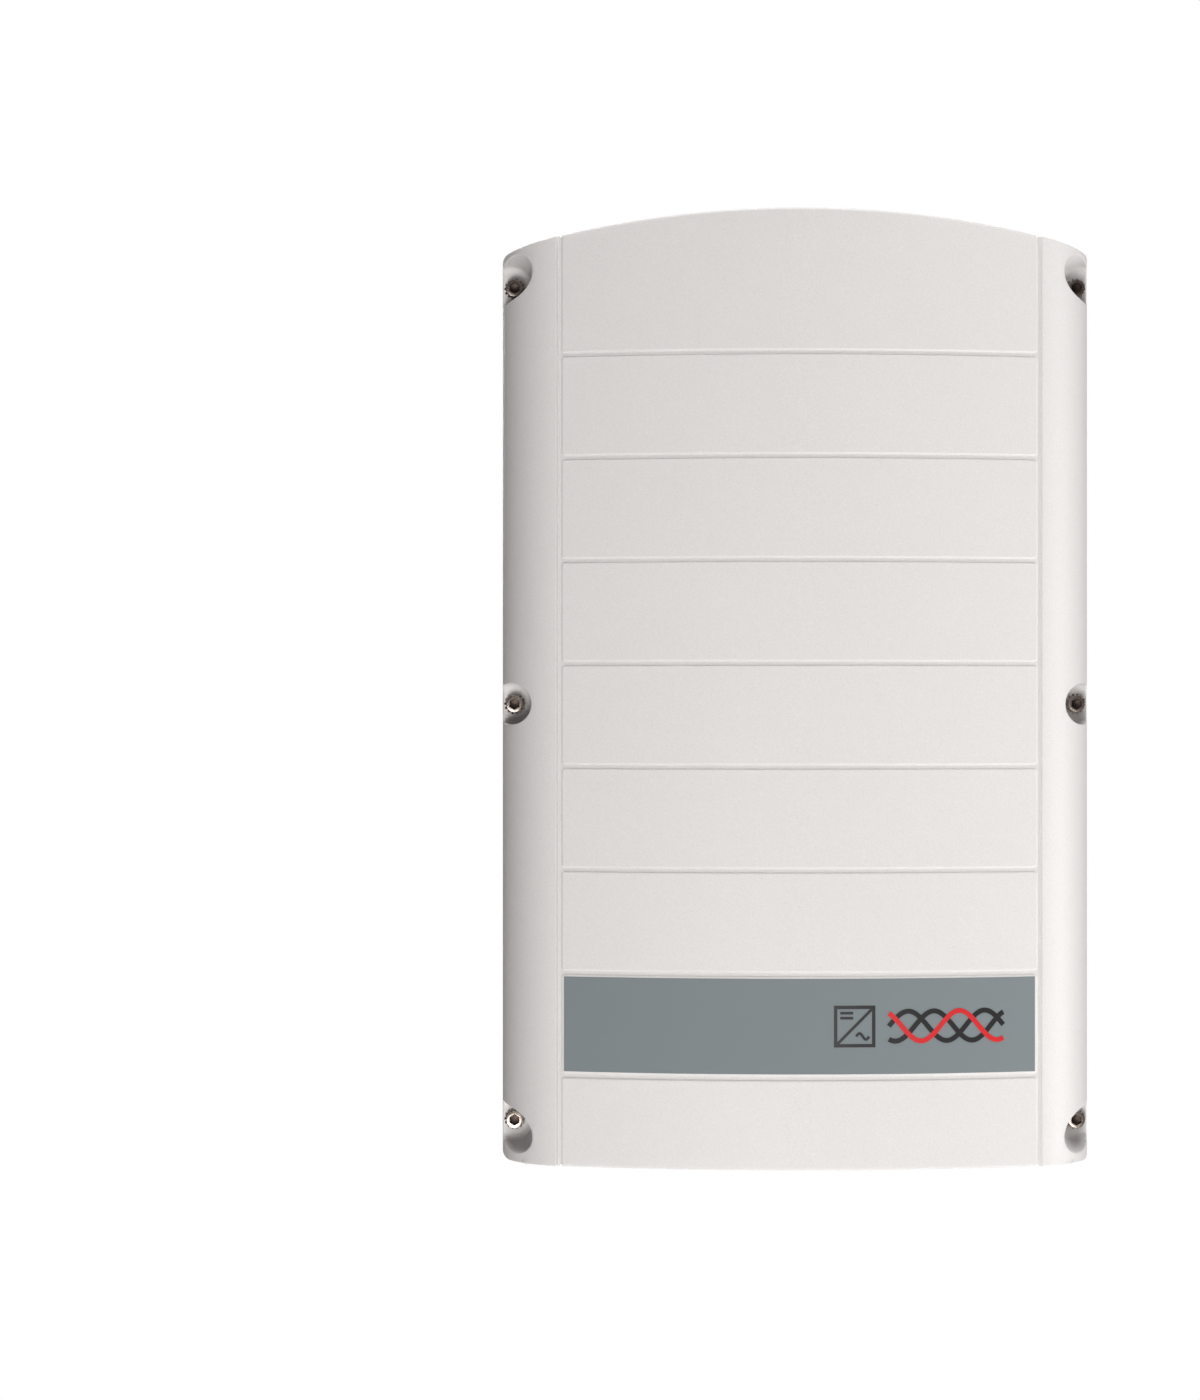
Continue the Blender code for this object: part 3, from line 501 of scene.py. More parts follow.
def make_cover_side(name, out):
    """One flank of the cover with its three screw pockets. It is made as the right one, and mirrored."""
    floor_depth = 0.0014
    edge_share = 0.03
    joint_x = SEAM_X - 0.0004
    screw_x, _ = seen_centre("cover_screw_top_right")
    pocket_edges = [screw_x + POCKET_SHIFT - radius for radius in (POCKET_RADIUS, CORNER_POCKET_RADIUS)]
    # No long edge of the flank runs close beside a pocket's upright tangent, where the rounding needs room.
    curve = [point for point in flank(first=edge_share)
             if all(abs(point[0] - x) > 0.0012 for x in pocket_edges)]
    section = [(x, crown_y(x, floor_depth)) for x in (joint_x, SEAM_X + 0.0007)] + curve + [(joint_x, RIM_Y)]
    side = prism(name, section, "Z", BOTTOM_Z - 0.01, CREST_Z + 0.01, POWDER)
    cut_level(side, [seen_centre(f"cover_screw_{row}_right")[1] + shift for row, _ in ROWS
                     for shift in (-0.0165, 0.0165)])
    combine(side, prism("outline", arched(0, BOTTOM_Z), "Y", CROWN_Y - 0.01, RIM_Y + 0.01), "INTERSECT")
    combine(side, inset_side(WALL, SEAM_X - 0.01, RIM_Y + 0.01, 0.02))
    for row, up in ROWS:
        x, z = seen_centre(f"cover_screw_{row}_right")
        block = pocket("block", x, z, 1, up, POCKET_WALL, SEAT_Y + 0.003, 0.0)
        combine(block, inset_side(0.0003, SEAM_X - 0.001, RIM_Y, 0.01), "INTERSECT")
        combine(side, block, "UNION")
        combine(side, pocket("bore", x, z, 1, up, 0.0, SEAT_Y, POCKET_FILLET))
        combine(side, polar("hole", [(0.003, 0.01), (0.003, -0.01)], (x, SEAT_Y, z), FRONT, segments=32))
    weld = side.modifiers.new("weld", "WELD")
    weld.merge_threshold = 0.00015
    bake(side)
    edge = bevel(side, 0.0006, 3, 32).modifiers["edge"]
    edge.use_clamp_overlap = False
    edge.loop_slide = False
    bake(side)
    if out < 0:
        side.data.transform(Matrix.Scale(-1, 4, (1, 0, 0)))
        side.data.flip_normals()
    shade(side.data, 38)
    even_normals(side, out)
    return side


def tile_depth(s, z, rounded_rows):
    """How deep the panel's surface lies at arc s and height z: zero on a tile, full in a groove."""
    across = np.abs(s) - (SEAM_ARC - GROOVE_HALF)
    if not rounded_rows:
        distance = across
    else:
        grooves = [CREST_Z - FIRST_GROOVE_DROP - GROOVE_PITCH * i for i in range(GROOVE_COUNT)]
        edges = [CREST_Z + 1.0] + grooves + [BOTTOM_Z - 1.0]
        distance = np.full_like(s, 1.0)
        for top, bottom in zip(edges, edges[1:]):
            middle, half_z = (top + bottom) / 2, (top - bottom) / 2 - GROOVE_HALF
            qs = across + TILE_CORNER
            qz = np.abs(z - middle) - half_z + TILE_CORNER
            outside = np.hypot(np.maximum(qs, 0), np.maximum(qz, 0))
            distance = np.minimum(distance, outside + np.minimum(np.maximum(qs, qz), 0) - TILE_CORNER)
    t = np.clip((distance + 0.0003) / 0.001, 0, 1)
    return GROOVE_DEPTH * t * t * (3 - 2 * t)


def panel_arcs():
    fine = np.arange(SEAM_ARC - 0.0036, SEAM_ARC + 0.0001, 0.00026)
    coarse = np.linspace(0, SEAM_ARC - 0.004, 30)
    half = np.concatenate([coarse, fine])
    return np.concatenate([-half[:0:-1], half])


def panel_rows():
    """Heights of the front's rows on the centre line, from the top down, close together at each groove."""
    rows = list(np.linspace(CREST_Z - PANEL_EDGE, CREST_Z - FIRST_GROOVE_DROP + 0.003, 16))
    for index in range(GROOVE_COUNT):
        groove = CREST_Z - FIRST_GROOVE_DROP - GROOVE_PITCH * index
        rows += list(groove + np.arange(0.0027, -0.00271, -0.0003))
        end = groove - GROOVE_PITCH + 0.0027 if index < GROOVE_COUNT - 1 else BOTTOM_Z + PANEL_EDGE
        rows += list(np.linspace(groove - 0.0027, end, 8)[1:-1 if index < GROOVE_COUNT - 1 else None])
    return rows


def make_cover_panel():
    """The domed front between the seams, as a grid of rows from the upper rim round to the lower one."""
    wall_rows, round_rows = 10, 6
    arcs = panel_arcs()
    angle = arcs / CROWN_RADIUS
    nx, ny = np.sin(angle), -np.cos(angle)
    x, y = CROWN_RADIUS * nx, CROWN_CENTRE_Y + CROWN_RADIUS * ny
    zero, one = np.zeros_like(x), np.ones_like(x)
    drop = CREST_Z - (CREST_Z - ARCH_RADIUS + np.sqrt(ARCH_RADIUS ** 2 - x ** 2))
    blend_from = CREST_Z - FIRST_GROOVE_DROP + 0.004

    def row(px, py, pz, dx, dy, dz, depth):
        return np.stack([px - dx * depth, py - dy * depth, pz - dz * depth], axis=1)

    def end_rows(end, sign, fall):
        """Rows along an end wall from the rim, and round its front edge."""
        depth = tile_depth(arcs, zero, False)
        rows = [row(x, RIM_Y + (y + PANEL_EDGE - RIM_Y) * (step / wall_rows), end - fall, zero, zero,
                    sign * one, depth) for step in range(wall_rows)]
        for step in range(round_rows):
            turn = pi / 2 * step / round_rows
            back = PANEL_EDGE * (1 - sin(turn))
            rows.append(row(x - nx * back, y - ny * back, end - fall - sign * PANEL_EDGE * (1 - cos(turn)),
                            nx * sin(turn), ny * sin(turn), sign * cos(turn) * one, depth))
        return rows

    grid = end_rows(CREST_Z, 1, drop)
    for z in panel_rows():
        share = np.clip((z - blend_from) / (CREST_Z - blend_from), 0, 1)
        grid.append(row(x, y, z - drop * share, nx, ny, zero, tile_depth(arcs, z * one, True)))
    grid += end_rows(BOTTOM_Z, -1, zero)[::-1]
    bm = bmesh.new()
    skin(bm, [[bm.verts.new(point) for point in line] for line in grid])
    return thicken(add("cover_panel", bm, POWDER, 60), WALL - GROOVE_DEPTH, -1, 60)


def make_cover_rim():
    """The cover's thick rim, which the gasket presses on and the screws pass through."""
    rim = prism("cover_rim", arched(0.0012, BOTTOM_Z + 0.0012), "Y", RIM_Y, SEAT_Y + 0.0005, POWDER)
    combine(rim, prism("mouth", arched(MOUTH_INSET, MOUTH_BOTTOM_Z), "Y", RIM_Y + 0.01, SEAT_Y - 0.01))
    for name, _, _ in SCREWS:
        x, z = seen_centre(f"cover_screw_{name}")
        combine(rim, polar("hole", [(0.003, 0.02), (0.003, -0.02)], (x, RIM_Y, z), FRONT, segments=32))
    bevel(rim, 0.0004, 2)
    return bake(rim)


def label_point(s, z, proud):
    radius = CROWN_RADIUS + proud
    return (radius * sin(s / CROWN_RADIUS), CROWN_CENTRE_Y - radius * cos(s / CROWN_RADIUS), z)


def stroke(name, path, width, proud, finish):
    """A printed line of even width along a path of (s, z) on the label."""
    bm = bmesh.new()
    points = [Vector(point) for point in path]
    left, right = [], []
    for i, point in enumerate(points):
        ahead = points[min(i + 1, len(points) - 1)] - points[max(i - 1, 0)]
        side = Vector((-ahead.y, ahead.x)).normalized() * width / 2
        left.append(bm.verts.new(label_point(point.x + side.x, point.y + side.y, proud)))
        right.append(bm.verts.new(label_point(point.x - side.x, point.y - side.y, proud)))
    skin(bm, (left, right))
    return thicken(add(name, bm, finish, outward=True), PRINT_THICKNESS, 0, 30)


def straight(start, end, steps=16):
    """Points along a printed line, close enough together to follow the label's curve."""
    return [Vector(start).lerp(Vector(end), step / steps) for step in range(steps + 1)]


def make_label():
    """The film in the lowest band, with a generic print: a DC-to-AC converter symbol and three phase waves."""
    groove = CREST_Z - FIRST_GROOVE_DROP - GROOVE_PITCH * (GROOVE_COUNT - 2)
    top, bottom = groove - GROOVE_HALF - 0.0006, groove - GROOVE_PITCH + GROOVE_HALF + 0.0006
    half = SEAM_ARC - GROOVE_HALF - 0.0011
    columns = 64
    bm = bmesh.new()
    skin(bm, [[bm.verts.new(label_point(2 * half * i / columns - half, z, 0.00018))
               for i in range(columns + 1)] for z in (top, bottom)])
    label = thicken(add("label_film", bm, LABEL), 0.00015, -1, 30)
    place(label, "label_strip", True)
    middle = (top + bottom) / 2
    size, left = 0.02, 0.018
    corners = [(left, middle - size / 2), (left + size, middle - size / 2), (left + size, middle + size / 2),
               (left, middle + size / 2)]
    marks = []
    for index in range(4):
        first, second = Vector(corners[index]), Vector(corners[(index + 1) % 4])
        ends = (second - first).normalized() * SIDE_STROKE / 2
        marks.append((f"mark_side_{index}", straight(first - ends, second + ends), SIDE_STROKE, PRINT_DARK))
    marks.append(("mark_diagonal", straight(corners[0], corners[2]), 0.0015, PRINT_DARK))
    for index in range(2):
        z = middle + size * 0.22 + 0.0026 * index
        line = straight((left + size * 0.12, z), (left + size * 0.46, z))
        marks.append((f"mark_direct_{index}", line, SYMBOL_STROKE, PRINT_DARK))
    wave = [(left + size * (0.54 + 0.34 * i / 24),
             middle - size * 0.26 + 0.0016 * sin(2 * pi * i / 24)) for i in range(25)]
    marks.append(("mark_alternating", wave, SYMBOL_STROKE, PRINT_DARK))
    start = left + size + 0.008
    for phase, finish in enumerate((PRINT_DARK, PRINT_DARK, PRINT_RED)):
        path = [(start + PHASE_LENGTH * i / 120,
                 middle + PHASE_HEIGHT * sin(2 * pi * (1.5 * i / 120 - phase / 3)))
                for i in range(121)]
        marks.append((f"mark_phase_{phase + 1}", path, PHASE_STROKE, finish))
    for order, (name, path, width, finish) in enumerate(marks):
        place(stroke(name, path, width, 0.00024 + 0.00001 * order, finish), "label_strip")


# ---- fasteners

def make_screw(name):
    """A socket-head screw with a knurled head, a hexagonal socket and a thread."""
    low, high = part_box(f"cover_screw_{name}")
    centre = ((low.x + high.x) / 2, high.y - 0.022, (low.z + high.z) / 2)
    head, height, major = (high.x - low.x) / 2, 0.006, 0.0027
    knurl, socket = ribbed(head, 0.00022, 36), hexagon(0.005, 0.0)
    rings = [(0.0004, height - 0.0036), (socket, height - 0.003), (socket, height - 0.0003),
             (less(socket, -0.0002), height), (head - 0.0008, height), (head - 0.0003, height - 0.0001),
             (less(knurl, 0.0001), height - 0.0004), (knurl, height - 0.0008), (knurl, 0.0006),
             (less(knurl, 0.0001), 0.0002), (head - 0.0003, 0.0), (major, 0.0), (major, -0.005)]
    rings += thread_rings(64, 0.0052, 0.016, 0.001, 0.00235, major, lambda depth: -depth)
    rings += [(0.0018, -0.0218), (0.0004, -0.022)]
    screw = polar(f"socket_screw_{name}", rings, centre, FRONT, STEEL, 72)
    # The socket's walls and floor take the dark steel: painted shade in the recess.
    screw.data.materials.append(SOCKET_PAINTED_SHADE)
    for face in screw.data.polygons:
        middle = face.center - Vector(centre)
        if hypot(middle.x, middle.z) < 0.0029 and 0.002 < -middle.y < height - 0.0001:
            face.material_index = 1
    place(screw, f"cover_screw_{name}", True)


def make_washer(name):
    """A toothed lock washer with its teeth twisted."""
    low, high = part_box(f"washer_{name}")
    centre = ((low.x + high.x) / 2, high.y, (low.z + high.z) / 2)
    outer, inner, teeth = (high.x - low.x) / 2, 0.0031, 14

    def rim(angle):
        return outer - 0.0009 * max(0.0, min(1.0, 0.5 - 1.6 * cos(teeth * angle)))

    def twist(base):
        return lambda angle: base + 0.00035 * sin(teeth * angle)
    rings = [(inner, 0.0013), (outer - 0.0014, 0.0013), (rim, twist(0.0012)), (rim, twist(0.0005)),
             (outer - 0.0014, 0.0004), (inner, 0.0004)]
    washer = polar(f"tooth_washer_{name}", rings, centre, FRONT, STEEL, 140, closed=True)
    place(washer, f"washer_{name}", True)


# ---- the electronics

MOUNT_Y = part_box("power_board")[0].y
CONTROL_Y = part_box("control_board")[0].y
COILS = [name for name in frame["nodes"] if "inductor" in name or name.endswith("choke")]
OFF_BOARD = {"power_board", "front_cover", "label_strip", "cover_gasket", "enclosure_tub", "heat_sink",
             "wall_bracket", "hanging_rail", "control_board", "control_tray", "inverter_module",
             "boost_module", "fan_rotor", "fan_frame"}


def tube(name, points, radius, finish, sides=8):
    """A round wire through the points, which lie close together."""
    bm = bmesh.new()
    rings = []
    for i, point in enumerate(points):
        along = (points[min(i + 1, len(points) - 1)] - points[max(i - 1, 0)]).normalized()
        side = along.cross(Vector((0, 1, 0.001))).normalized()
        up = side.cross(along)
        rings.append([bm.verts.new(point + radius * (side * cos(a) + up * sin(a)))
                      for a in (2 * pi * step / sides for step in range(sides))])
    skin(bm, rings, True)
    bm.faces.new(rings[0])
    bm.faces.new(rings[-1])
    return add(name, bm, finish, 60, True)


def make_toroid(node):
    """A powder core standing on a base disc, wound with one wire whose ends go down into the board."""
    low, high, centre = box_of(node)
    outer, height = (high.x - low.x) / 2, high.y - low.y
    inner = outer - 0.0162
    wire = 0.00085 if "choke" in node else 0.001
    gap, base = 2.3 * wire, 0.0016
    half_r, half_h = (outer - inner) / 2 - gap, (height - base) / 2 - gap
    ring_r, middle_y = (outer + inner) / 2, high.y - base - (height - base) / 2

    def squared(size, wave):
        return size * copysign(min(1, 1.25 * abs(wave)), wave)
    core = [(ring_r + squared(half_r, cos(a)), squared(half_h, sin(a)))
            for a in (radians(11.25 + 22.5 * step) for step in range(16))]
    turns = int(2 * pi * (inner + gap) / (2.25 * wire))
    steps = 20
    path = []
    for i in range(turns * steps + 1):
        t = i / (turns * steps)
        turn = 2 * pi * turns * t
        spin = radians(105) + radians(330) * t
        r = ring_r + (half_r + wire * 1.1) * max(-1, min(1, 1.3 * cos(turn)))
        rise = (half_h + wire * 1.1) * max(-1, min(1, 1.3 * sin(turn)))
        path.append(Vector((centre.x + r * cos(spin), middle_y - rise, centre.z + r * sin(spin))))
    ends = []
    for start in (path[0], path[-1]):
        fall = high.y - 0.0002 - start.y
        ends.append([Vector((start.x, start.y + fall * k / 6, start.z)) for k in range(1, 7)])
    path = ends[0][::-1] + path + ends[1]
    foot = [(0.003, base), (outer - 0.0008, base), (outer, base - 0.0005), (outer, 0.0002), (0.003, 0.0002)]
    place(polar(f"{node}_core", core[::-1], (centre.x, middle_y, centre.z), FRONT, CORE, 64, closed=True),
          node)
    place(tube(f"{node}_winding", path, wire, COPPER, 6), node, True)
    place(polar(f"{node}_base", foot, (centre.x, high.y, centre.z), FRONT, BLACK_PLASTIC, 64, closed=True),
          node)


def make_link_capacitor(node):
    """A can in a shrunk sleeve with a crimp near its foot, and a scored lid."""
    low, high, centre = box_of(node)
    radius, height = (high.x - low.x) / 2, high.y - low.y
    foot = (centre.x, high.y, centre.z)
    sleeve = [(radius - 0.0022, height - 0.0004), (radius - 0.002, height), (radius - 0.001, height - 0.0001),
              (radius - 0.0003, height - 0.0006), (radius, height - 0.0014), (radius, 0.0056),
              (radius - 0.0005, 0.0046), (radius - 0.001, 0.0038), (radius - 0.0005, 0.003), (radius, 0.0022),
              (radius, 0.0004), (radius - 0.0004, 0)]
    body = polar(f"{node}_sleeve", sleeve, foot, FRONT, SLEEVE, 64)

    def scored(r):
        """A Y-shaped vent score in the can's lid."""
        def height_at(a):
            from_score = min(abs(sin((a - k * 2 * pi / 3) / 2)) for k in range(3)) * r
            return height - 0.0005 - (0.0003 if from_score < 0.0003 else 0)
        return height_at
    lid = [(r, scored(r)) for r in (0.0006, 0.003, 0.006, 0.009, 0.0118)]
    lid += [(radius - 0.0025, height - 0.0002), (radius - 0.0019, height - 0.0002),
            (radius - 0.0019, height - 0.002)]
    top = polar(f"{node}_lid", lid, foot, FRONT, SOLDER, 96)
    place(body, node, True)
    place(top, node)


def cross_screw(name, x, y, z, head, node):
    """A pan-head screw with a cross recess. Its head stands forward of the point."""
    def recess(r, height):
        def height_at(a):
            in_slot = min(abs(sin(a)), abs(cos(a))) * r < 0.16 * head
            return height - (0.35 * head if in_slot else 0)
        return height_at
    rings = [(share * head, recess(share * head, height * head)) for share, height in
             ((0.05, 0.62), (0.25, 0.61), (0.42, 0.6), (0.54, 0.58))]
    rings += [(0.75 * head, 0.5 * head), (0.92 * head, 0.34 * head), (head, 0.12 * head), (head, 0.0)]
    place(polar(name, rings, (x, y, z), FRONT, SOLDER, 48, 25), node)


def free_of(taken, low_x, high_x, low_z, high_z, gap=0.0012):
    return all(high_x + gap < a or low_x - gap > b or high_z + gap < c or low_z - gap > d
               for a, b, c, d in taken)


def populate(prefix, node, front_y, area, nodes, kinds):
    """Sets small components on a board where nothing else stands.
    Each kind is (count, width, depth, height, maker)."""
    taken = [(low.x, high.x, low.z, high.z) for low, high in map(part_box, nodes)]
    low_x, high_x, low_z, high_z = area
    parts = {}
    for count, width, depth, height, maker in kinds:
        placed = 0
        for _ in range(count * 30):
            across, along = (width, depth) if random.random() < 0.5 else (depth, width)
            x = round(random.uniform(low_x, high_x - across), 4)
            z = round(random.uniform(low_z, high_z - along), 4)
            if placed < count and free_of(taken, x, x + across, z, z + along):
                taken.append((x, x + across, z, z + along))
                placed += 1
                for finish, (x0, x1), (z0, z1), (near, far) in maker(across, along, height):
                    parts.setdefault(finish, []).append(((x + x0, front_y - far, z + z0),
                                                         (x + x1, front_y - near, z + z1)))
    for finish, items in parts.items():
        place(boxes(f"{prefix}_{finish.name}", items, finish, 0.00012), node)


def lay(across, along, items):
    """Turns blocks, which are given along a part's long side and then across it, as the part lies."""
    return [(finish, *((long, short) if across >= along else (short, long)), heights)
            for finish, long, short, heights in items]


def chip(across, along, height):
    """A flat package with a row of legs down each long side."""
    leg, leg_width, pitch = 0.0008, 0.0005, 0.0013
    length, width = max(across, along), min(across, along)
    items = [(BLACK_PLASTIC, (0, length), (leg, width - leg), (0.0003, height))]
    for i in range(int((length - 0.001) / pitch)):
        at = 0.0008 + pitch * i
        items += [(SOLDER, (at, at + leg_width), (side, side + leg), (0, height * 0.4))
                  for side in (0, width - leg)]
    return lay(across, along, items)


def small_part(body):
    """A surface-mounted block with a tinned cap on each end."""
    def maker(across, along, height):
        length, width = max(across, along), min(across, along)
        cap = length * 0.2
        return lay(across, along, [(SOLDER, (0, cap), (0, width), (0, height)),
                                   (SOLDER, (length - cap, length), (0, width), (0, height)),
                                   (body, (cap, length - cap), (0, width), (0, height * 0.95))])
    return maker


def block(body):
    return lambda across, along, height: [(body, (0, across), (0, along), (0, height))]


def header(across, along, height):
    """A pin header: a black strip with rows of pins."""
    pitch, pin = 0.00254, 0.0006
    found = [(BLACK_PLASTIC, (0, across), (0, along), (0, height * 0.4))]
    for i in range(int(across / pitch)):
        for k in range(int(along / pitch)):
            at_x, at_z = pitch * (i + 0.5) - pin / 2, pitch * (k + 0.5) - pin / 2
            found.append((SOLDER, (at_x, at_x + pin), (at_z, at_z + pin), (height * 0.3, height)))
    return found


def populate_boards():
    standing = [name for name in frame["nodes"] if name not in OFF_BOARD]
    black, ceramic = small_part(BLACK_PLASTIC), small_part(CERAMIC)
    low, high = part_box("power_board")
    area = (low.x + 0.009, high.x - 0.009, low.z + 0.018, high.z - 0.003)
    populate("power_part", "power_board", MOUNT_Y, area, standing, [
        (5, 0.026, 0.011, 0.019, block(GREY_PLASTIC)), (4, 0.018, 0.0085, 0.015, block(ORANGE)),
        (5, 0.014, 0.01, 0.011, block(BLACK_PLASTIC)), (10, 0.0098, 0.006, 0.0018, chip),
        (26, 0.0045, 0.0026, 0.0016, ceramic), (60, 0.0032, 0.0016, 0.001, black),
        (60, 0.002, 0.0012, 0.0009, ceramic)])
    low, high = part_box("control_board")
    area = (low.x + 0.0105, high.x - 0.0105, low.z + 0.009, high.z - 0.009)
    populate("control_part", "control_board", CONTROL_Y, area, ["ribbon_cable"], [
        (1, 0.02, 0.02, 0.0016, chip), (1, 0.034, 0.0052, 0.0085, header),
        (1, 0.024, 0.008, 0.011, block(GREEN_PLASTIC)), (2, 0.016, 0.0052, 0.0085, header),
        (3, 0.011, 0.0075, 0.0016, chip), (6, 0.0062, 0.005, 0.0014, chip),
        (1, 0.011, 0.0046, 0.0035, block(SOLDER)), (20, 0.0032, 0.0018, 0.0014, ceramic),
        (70, 0.002, 0.0012, 0.0008, black), (70, 0.0016, 0.0009, 0.0008, ceramic)])
    # Each row is a board, its front, how far in the screws stand, how many up each side and their size.
    for node, front_y, in_x, in_z, count, head in (("control_board", CONTROL_Y, 0.006, 0.006, 2, 0.0028),
                                                   ("power_board", MOUNT_Y, 0.0045, 0.008, 5, 0.003)):
        low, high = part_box(node)
        for i, x in enumerate((low.x + in_x, high.x - in_x)):
            for k in range(count):
                z = low.z + in_z + (high.z - low.z - 2 * in_z) * k / (count - 1)
                cross_screw(f"{node}_screw_{i}{k}", x, front_y - 0.0001, z, head, node)


def make_terminals(node, ways):
    """A clamp screw for each way on the block's front, and walls between the ways."""
    low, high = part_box(node)
    pitch = (high.x - low.x) / ways
    finish = GREEN_PLASTIC if "dc" in node else GREY_PLASTIC
    walls = [((low.x + pitch * i - (0.0004 if i else 0), low.y - 0.0012, low.z + 0.0006),
              (low.x + pitch * i + (0.0004 if i < ways else 0), low.y + 0.0004, high.z - 0.0006))
             for i in range(ways + 1)]
    place(boxes(f"{node}_walls", walls, finish), node)
    for i in range(ways):
        cross_screw(f"{node}_screw_{i + 1}", low.x + pitch * (i + 0.5), low.y - 0.0001, low.z + 0.0155,
                    0.0036, node)


# ---- under the tub

def make_turned(node, rings, finish, segments=72, closed=False, name=None):
    """A turned piece on a vertical axis. Heights are above the node's lowest point. One without a name
    of its own stands for the node."""
    low, _, centre = box_of(node)
    piece = polar(name or f"{node}_shape", rings, (centre.x, centre.y, low.z), UP, finish, segments,
                  closed=closed)
    place(piece, node, replace=not name)


def make_dc_socket(index):
    """A socket with a hexagonal flange, grip ribs, two latch grooves, a coloured ring and its pin."""
    node = f"dc_socket_{index}"
    low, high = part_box(node)
    top, seat = high.z - low.z, high.z - low.z - 0.0095
    flange, grip = hexagon(0.016, 0.02), ribbed(0.0071, 0.0005, 16)
    rings = [(0.0026, top), (0.0052, top), (0.0056, top - 0.0004), (0.0056, seat), (flange, seat),
             (flange, seat - 0.0035), (0.0068, seat - 0.0036), (0.0068, seat - 0.006), (grip, seat - 0.0066),
             (grip, seat - 0.015), (0.0066, seat - 0.0156), (0.0066, seat - 0.018), (0.0071, seat - 0.0184),
             (0.0071, seat - 0.023), (0.0064, seat - 0.0234), (0.0064, seat - 0.0248),
             (0.0071, seat - 0.0252), (0.007, 0.0006), (0.0066, 0.0), (0.0052, 0.0), (0.0048, 0.0005),
             (0.0048, seat - 0.006), (0.0026, seat - 0.006)]
    make_turned(node, rings, BLACK_PLASTIC, 96, True)
    ring = [(0.0067, seat - 0.0157), (0.007, seat - 0.016), (0.007, seat - 0.0176), (0.0067, seat - 0.0179)]
    colour, slot = (RED_CABLE, "red_cable") if index % 2 else (BLACK_CABLE, "black_cable")
    make_turned(node, ring, colour, closed=True, name=f"{node}_ring")
    pin = [(0.0025, top), (0.0025, seat - 0.0057), (0.0021, seat - 0.0058), (0.0021, 0.006), (0.0016, 0.004),
           (0.0006, 0.003)]
    make_turned(node, pin, SOLDER, 32, name=f"{node}_pin")


def make_gland(node):
    """A hexagonal gland body with its thread, and a domed nut with six flats and grip ribs."""
    low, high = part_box(f"{node}_body")
    scale = (high.x - low.x) / 0.032
    size = high.z - low.z
    seat, bore = size - 0.0095, 0.009 * scale + 0.002
    flange, major = hexagon(0.029 * scale, 0.02), 0.0118 * scale
    rings = [(bore, size), (major, size), (0.0123 * scale, size - 0.0006), (0.0123 * scale, seat),
             (flange, seat), (flange, seat - 0.0046), (less(flange, 0.0004), seat - 0.005)]
    rings += thread_rings(112, 0.0052, seat - 0.0056, 0.0015, 0.0112 * scale, major, lambda depth: seat - depth)
    make_turned(f"{node}_body", rings + [(bore, 0.0)], GREY_PLASTIC, 60, True)
    low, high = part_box(f"{node}_nut")
    full = high.z - low.z
    flats, grip = hexagon(0.0295 * scale, 0.035), ribbed(0.015 * scale, 0.0006 * scale, 24)
    inner, mouth = 0.0127 * scale, bore - 0.0017
    rings = [(inner, full), (less(flats, 0.0006), full), (flats, full - 0.0006), (flats, 0.0145),
             (less(flats, 0.0006), 0.0138), (grip, 0.0132), (grip, 0.0085), (0.0146 * scale, 0.007),
             (0.014 * scale, 0.0045), (0.0131 * scale, 0.002), (0.012 * scale, 0.0006),
             (0.0112 * scale, 0.0), (mouth + 0.0006, 0.0), (mouth, 0.0006), (mouth, 0.0097), (inner, 0.0097)]
    make_turned(f"{node}_nut", rings, GREY_PLASTIC, 120, True)


def make_small_entries():
    """The port's cap, the vent plug, and the ground stud with its washer and nut."""
    heights = {node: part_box(node)[1].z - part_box(node)[0].z for node in ("port_cap", "vent_plug", "ground_stud")}
    size, knurl = heights["port_cap"], ribbed(0.008, 0.0004, 30)
    rings = [(0.0066, size), (0.0078, size), (0.0081, size - 0.0004), (0.0081, size - 0.002),
             (knurl, size - 0.0024), (knurl, 0.002), (0.0076, 0.0008), (0.0066, 0.0), (0.003, 0.0),
             (0.0026, 0.0006), (0.0006, 0.0006), (0.0006, 0.005), (0.0066, 0.005)]
    make_turned("port_cap", rings, RUBBER, 120, True)
    size, grip = heights["vent_plug"], ribbed(0.0088, 0.0008, 12)
    rings = [(0.0006, size), (0.0054, size), (0.0058, size - 0.0004), (0.0058, 0.0065), (0.009, 0.0065),
             (0.009, 0.0056), (grip, 0.0052), (grip, 0.002), (0.0078, 0.001), (0.007, 0.0002),
             (0.0056, 0.0), (0.0052, 0.0008), (0.0034, 0.0008), (0.0031, 0.0002), (0.0006, 0.0002)]
    make_turned("vent_plug", rings, BLACK_PLASTIC, 96)
    size, nut = heights["ground_stud"], hexagon(0.01, 0.02)
    rings = [(0.0006, size), (0.0029, size), (0.0033, size - 0.0004), (0.0033, 0.016), (0.008, 0.016),
             (0.008, 0.0146), (0.0057, 0.0145), (less(nut, 0.0004), 0.0145), (nut, 0.0141), (nut, 0.0099),
             (less(nut, 0.0004), 0.0095), (0.0029, 0.0095)]
    rings += thread_rings(72, 0.0093, -0.0085, 0.001, 0.0025, 0.003, lambda height: height)
    rings += [(0.0022, 0.0), (0.0004, 0.0)]
    make_turned("ground_stud", rings, STEEL, 60)


